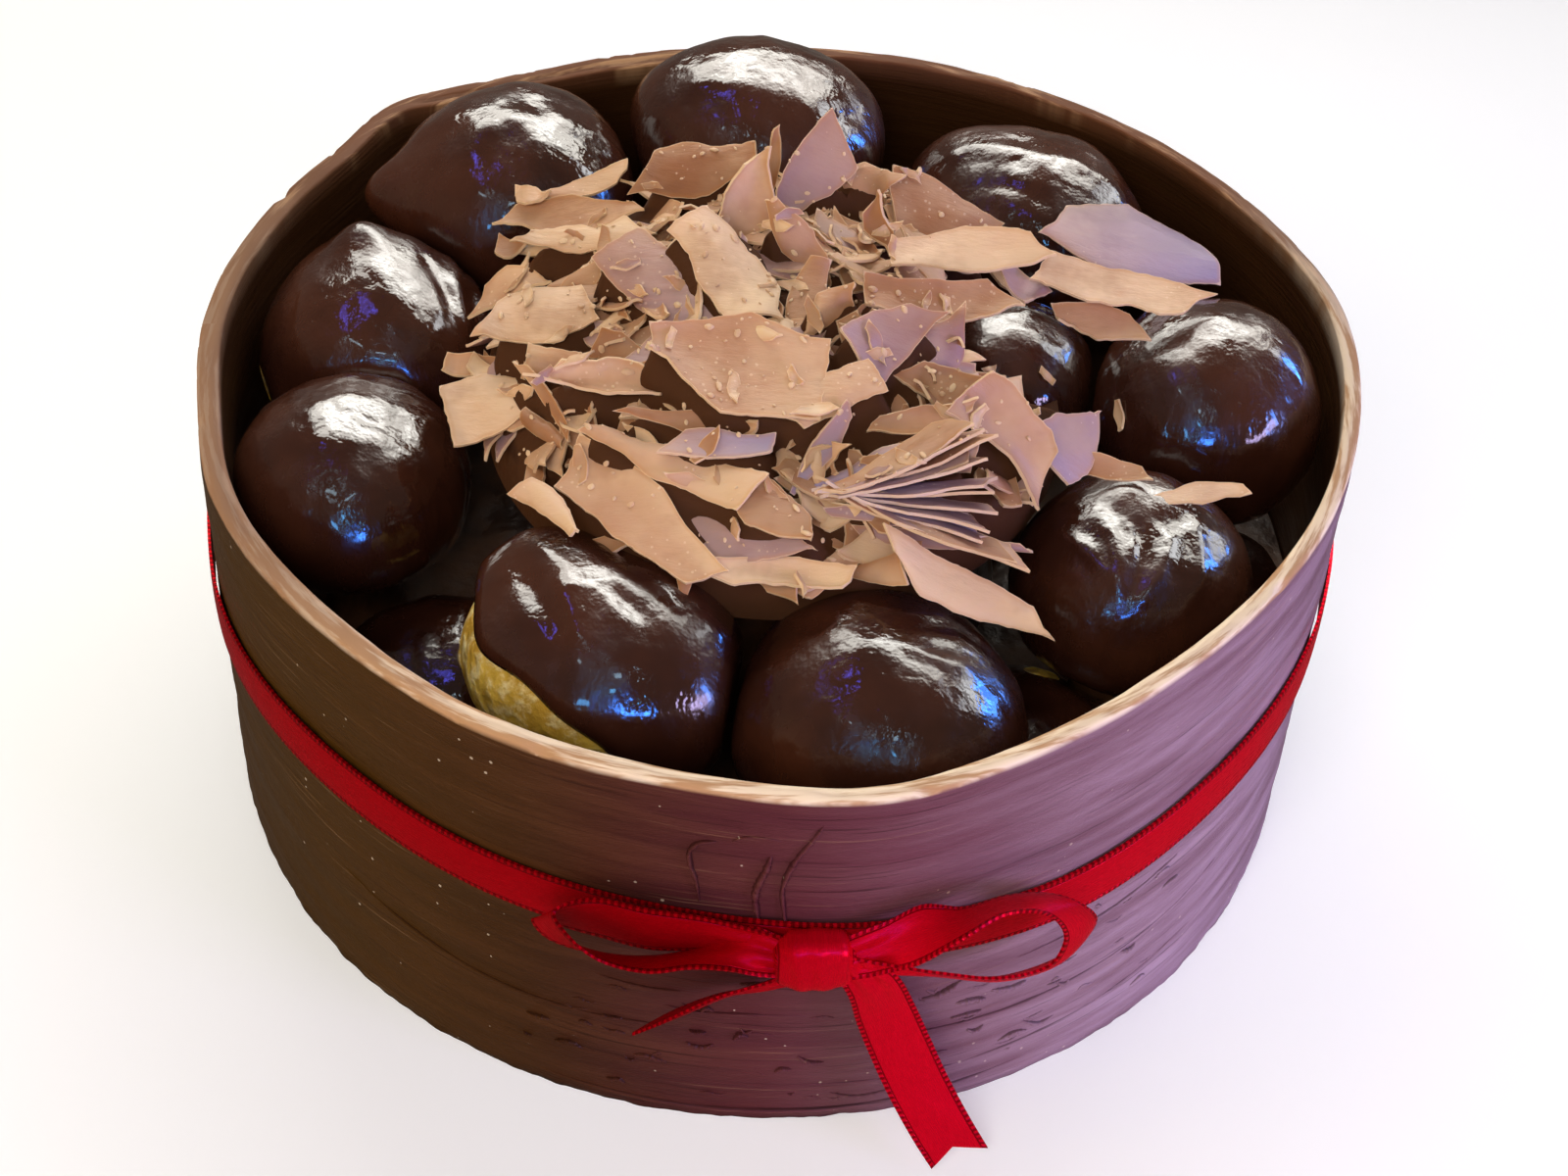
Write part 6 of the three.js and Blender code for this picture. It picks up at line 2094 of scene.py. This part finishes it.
    @staticmethod
    def _lengths(edge: Array, samples: int = 200) -> tuple[Array, Array]:
        """Places along an edge, from 0 to 1, and how many millimetres lie before each."""
        at = np.linspace(0.0, 1.0, samples)
        steps = np.linalg.norm(np.diff(spline(edge, at), axis=0), axis=1)
        return at, np.concatenate([[0.0], np.cumsum(steps)])

    def _band(self, steps: int = 720) -> Piece:
        """Models the band round the collar."""
        piece = Modeller.grid("band", steps, self.rows)
        unit = Modeller.read(piece)
        bearing = 360.0 * (unit[:, 0] + 0.5) - 90.0
        v = unit[:, 1]
        height = self.band_height + sum_of_bells(bearing, self.drifts) + v * self.width
        puff = 0.16 * (1.0 - (2.0 * v) ** 2)
        radius = self.collar.outer(bearing, height) + self.band_off + 0.5 + puff
        Modeller.write(piece, around(bearing, radius, height) * MM)
        self._run(piece, np.linspace(0.0, 2.0 * math.pi * self.collar.radius, steps + 1))
        Modeller.modify(piece, "SOLIDIFY", thickness=0.5 * MM, offset=-1.0)
        return piece

    def _knot(self) -> Piece:
        """Models the knot: a rounded lump with pleats that run up and down it."""
        piece = Modeller.ball("knot", 35)
        unit = Modeller.read(piece)
        reach = (np.abs(unit) ** self.knot_power).sum(axis=1) ** (-1.0 / self.knot_power)
        pleat = 1.0 + 0.045 * np.sin(unit[:, 0] * 13.0 + unit[:, 2] * 1.5) * (1.0 - unit[:, 2] ** 2)
        local = unit * (reach * pleat)[:, None] * np.array(self.knot_half)
        turn = math.radians(math.degrees(math.atan2(self.knot[1], self.knot[0])) + 90.0)
        spun = np.stack([local[:, 0] * math.cos(turn) - local[:, 1] * math.sin(turn),
                         local[:, 0] * math.sin(turn) + local[:, 1] * math.cos(turn), local[:, 2]],
                         axis=-1)
        points = self.off_wall(spun + np.array(self.knot), self.bow_off)
        Modeller.write(piece, points * MM)
        layer = piece.data.uv_layers.active or piece.data.uv_layers.new(name="UVMap")
        corner = np.zeros(len(piece.data.loops), int)
        piece.data.loops.foreach_get("vertex_index", corner)
        uv = np.stack([local[corner, 2] * 2.0, 0.5 + local[corner, 0] / (2.2 * self.knot_half[0])],
                      axis=-1)
        layer.data.foreach_set("uv", uv.astype(np.float32).reshape(-1))
        return piece


# ---- studio


@dataclass(frozen=True)
class Studio:
    """The photograph's camera, a pale floor and soft light."""

    camera_at: Point = (3.304, -341.923, 360.972)
    elevation: float = 44.33
    roll: float = 3.02
    lens: float = 58.10
    MIRRORED: ClassVar = (
        ("back_window", (0.05, 0.54, 0.62), (1.00, 0.46), 12.5, (1.0, 0.98, 0.90)),
        ("back_core", (0.10, 0.58, 0.68), (0.50, 0.15), 2.0, (1.0, 1.0, 0.96)),
        ("back_right", (0.62, 0.30, 0.50), (0.25, 0.22), 1.4, (0.95, 0.98, 1.0)),
        ("blue_front", (0.135, -0.61, 0.295), (0.14, 0.08), 2.20, (0.05, 0.24, 1.0)),
        ("blue_side", (0.546, 0.206, 0.212), (0.07, 0.18), 1.80, (0.06, 0.26, 1.0)),
        ("blue_right", (0.614, -0.256, 0.226), (0.07, 0.22), 2.00, (0.06, 0.26, 1.0)),
        ("violet_top", (-0.215, -0.011, 0.665), (0.08, 0.06), 0.16, (0.12, 0.12, 1.0)),
        ("teal_front", (0.02, -0.60, 0.52), (0.06, 0.05), 0.30, (0.12, 0.50, 1.0)),
        ("teal_left", (-0.16, -0.62, 0.36), (0.05, 0.05), 0.24, (0.12, 0.46, 1.0)),
        ("pale_front", (0.10, -0.55, 0.80), (0.07, 0.05), 0.20, (0.50, 0.78, 1.0)),
        ("pale_left", (-0.25, -0.45, 0.95), (0.07, 0.06), 0.18, (0.60, 0.85, 1.0)),
    )
    FILLS: ClassVar = (
        ("back_fill", (0.05, 0.54, 0.62), (1.00, 0.46), 8.0, (1.0, 1.0, 0.95)),
        ("front_high", (-0.15, -0.70, 0.75), (0.50, 0.40), 4.5, (1.0, 0.94, 0.86)),
        ("front_low", (-0.25, -1.20, 0.20), (0.80, 0.30), 2.4, (1.0, 0.88, 0.78)),
        ("warm_left", (-0.90, -0.25, 0.40), (0.40, 0.30), 2.6, (1.0, 0.74, 0.38)),
    )
    BOTH: ClassVar = (
        ("cool_right", (0.75, -0.45, 0.20), (0.30, 0.25), 4.4, (0.66, 0.54, 1.0)),
    )

    def build(self, paints: Paints) -> None:
        """Sets the stage."""
        bpy.context.scene.view_settings.view_transform = "Standard"
        self._camera()
        self._floor(paints)
        self._world()
        self._lights()

    def _camera(self) -> None:
        """Places the camera by its elevation and roll."""
        e, r = math.radians(self.elevation), math.radians(self.roll)
        forward = Vector((0.0, math.cos(e), -math.sin(e)))
        level_up = Vector((0.0, math.sin(e), math.cos(e)))
        right = math.cos(r) * Vector((1, 0, 0)) + math.sin(r) * level_up
        up = math.cos(r) * level_up - math.sin(r) * Vector((1, 0, 0))
        data = bpy.data.cameras.new("Camera")
        data.lens, data.sensor_width = self.lens, 36.0
        camera = bpy.data.objects.new("Camera", data)
        bpy.context.scene.collection.objects.link(camera)
        turn = Matrix((right, up, -forward)).transposed().to_4x4()
        camera.matrix_world = Matrix.Translation(Vector(self.camera_at) * MM) @ turn
        bpy.context.scene.camera = camera

    def _floor(self, paints: Paints) -> None:
        """Lays the floor."""
        bpy.ops.mesh.primitive_plane_add(size=8.0)
        floor = Modeller.added("floor")
        Modeller.painted(floor, paints.floor)
        floor.visible_glossy = False

    def _world(self, colour: Colour = (1.0, 0.86, 0.74), strength: float = 0.14) -> None:
        """Fills the room with pale light."""
        world = bpy.data.worlds.new("Room")
        world.use_nodes = True
        back = world.node_tree.nodes["Background"]
        back.inputs["Color"].default_value = (*colour, 1.0)
        back.inputs["Strength"].default_value = strength
        bpy.context.scene.world = world

    def _lights(self) -> None:
        """Hangs a window and small cool lamps that only the gloss shows, and soft fills that it doesn't."""
        for lamps, mirrored, lighting in ((self.MIRRORED, True, False), (self.FILLS, False, True),
                                          (self.BOTH, True, True)):
            for lamp in lamps:
                made = self._lamp(*lamp)
                made.visible_glossy, made.visible_diffuse = mirrored, lighting

    @staticmethod
    def _lamp(name: str, at: Point, size: tuple[float, float], power: float,
              colour: Colour) -> Piece:
        """Hangs one rectangular lamp that looks at the cake."""
        bpy.ops.object.light_add(type="AREA", location=at)
        lamp = bpy.context.view_layer.objects.active
        lamp.name = name
        lamp.data.shape = "RECTANGLE"
        lamp.data.size, lamp.data.size_y = size
        lamp.data.energy, lamp.data.color = power, colour
        lamp.rotation_euler = (Vector((0, 0, 0.06)) - Vector(at)).to_track_quat("-Z", "Y").to_euler()
        return lamp


# ---- the cake


def main() -> None:
    """Builds the whole scene."""
    logging.basicConfig(level=logging.INFO, format="%(name)s %(message)s")
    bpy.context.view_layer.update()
    paints = Paints()
    collar = CollarShape()
    buns = BunPieces(collar)
    CollarPiece(collar).build(paints)
    RidgePiece(collar).build(paints)
    buns.build(paints)
    PilePiece(collar, buns.buns).build(paints)
    Shavings(Heap(), buns.buns[BunPieces.TOP_COUNT - 1]).build(paints)
    RibbonPiece(collar).build(paints)
    Studio().build(paints)


if __name__ == "__main__":
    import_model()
    main()
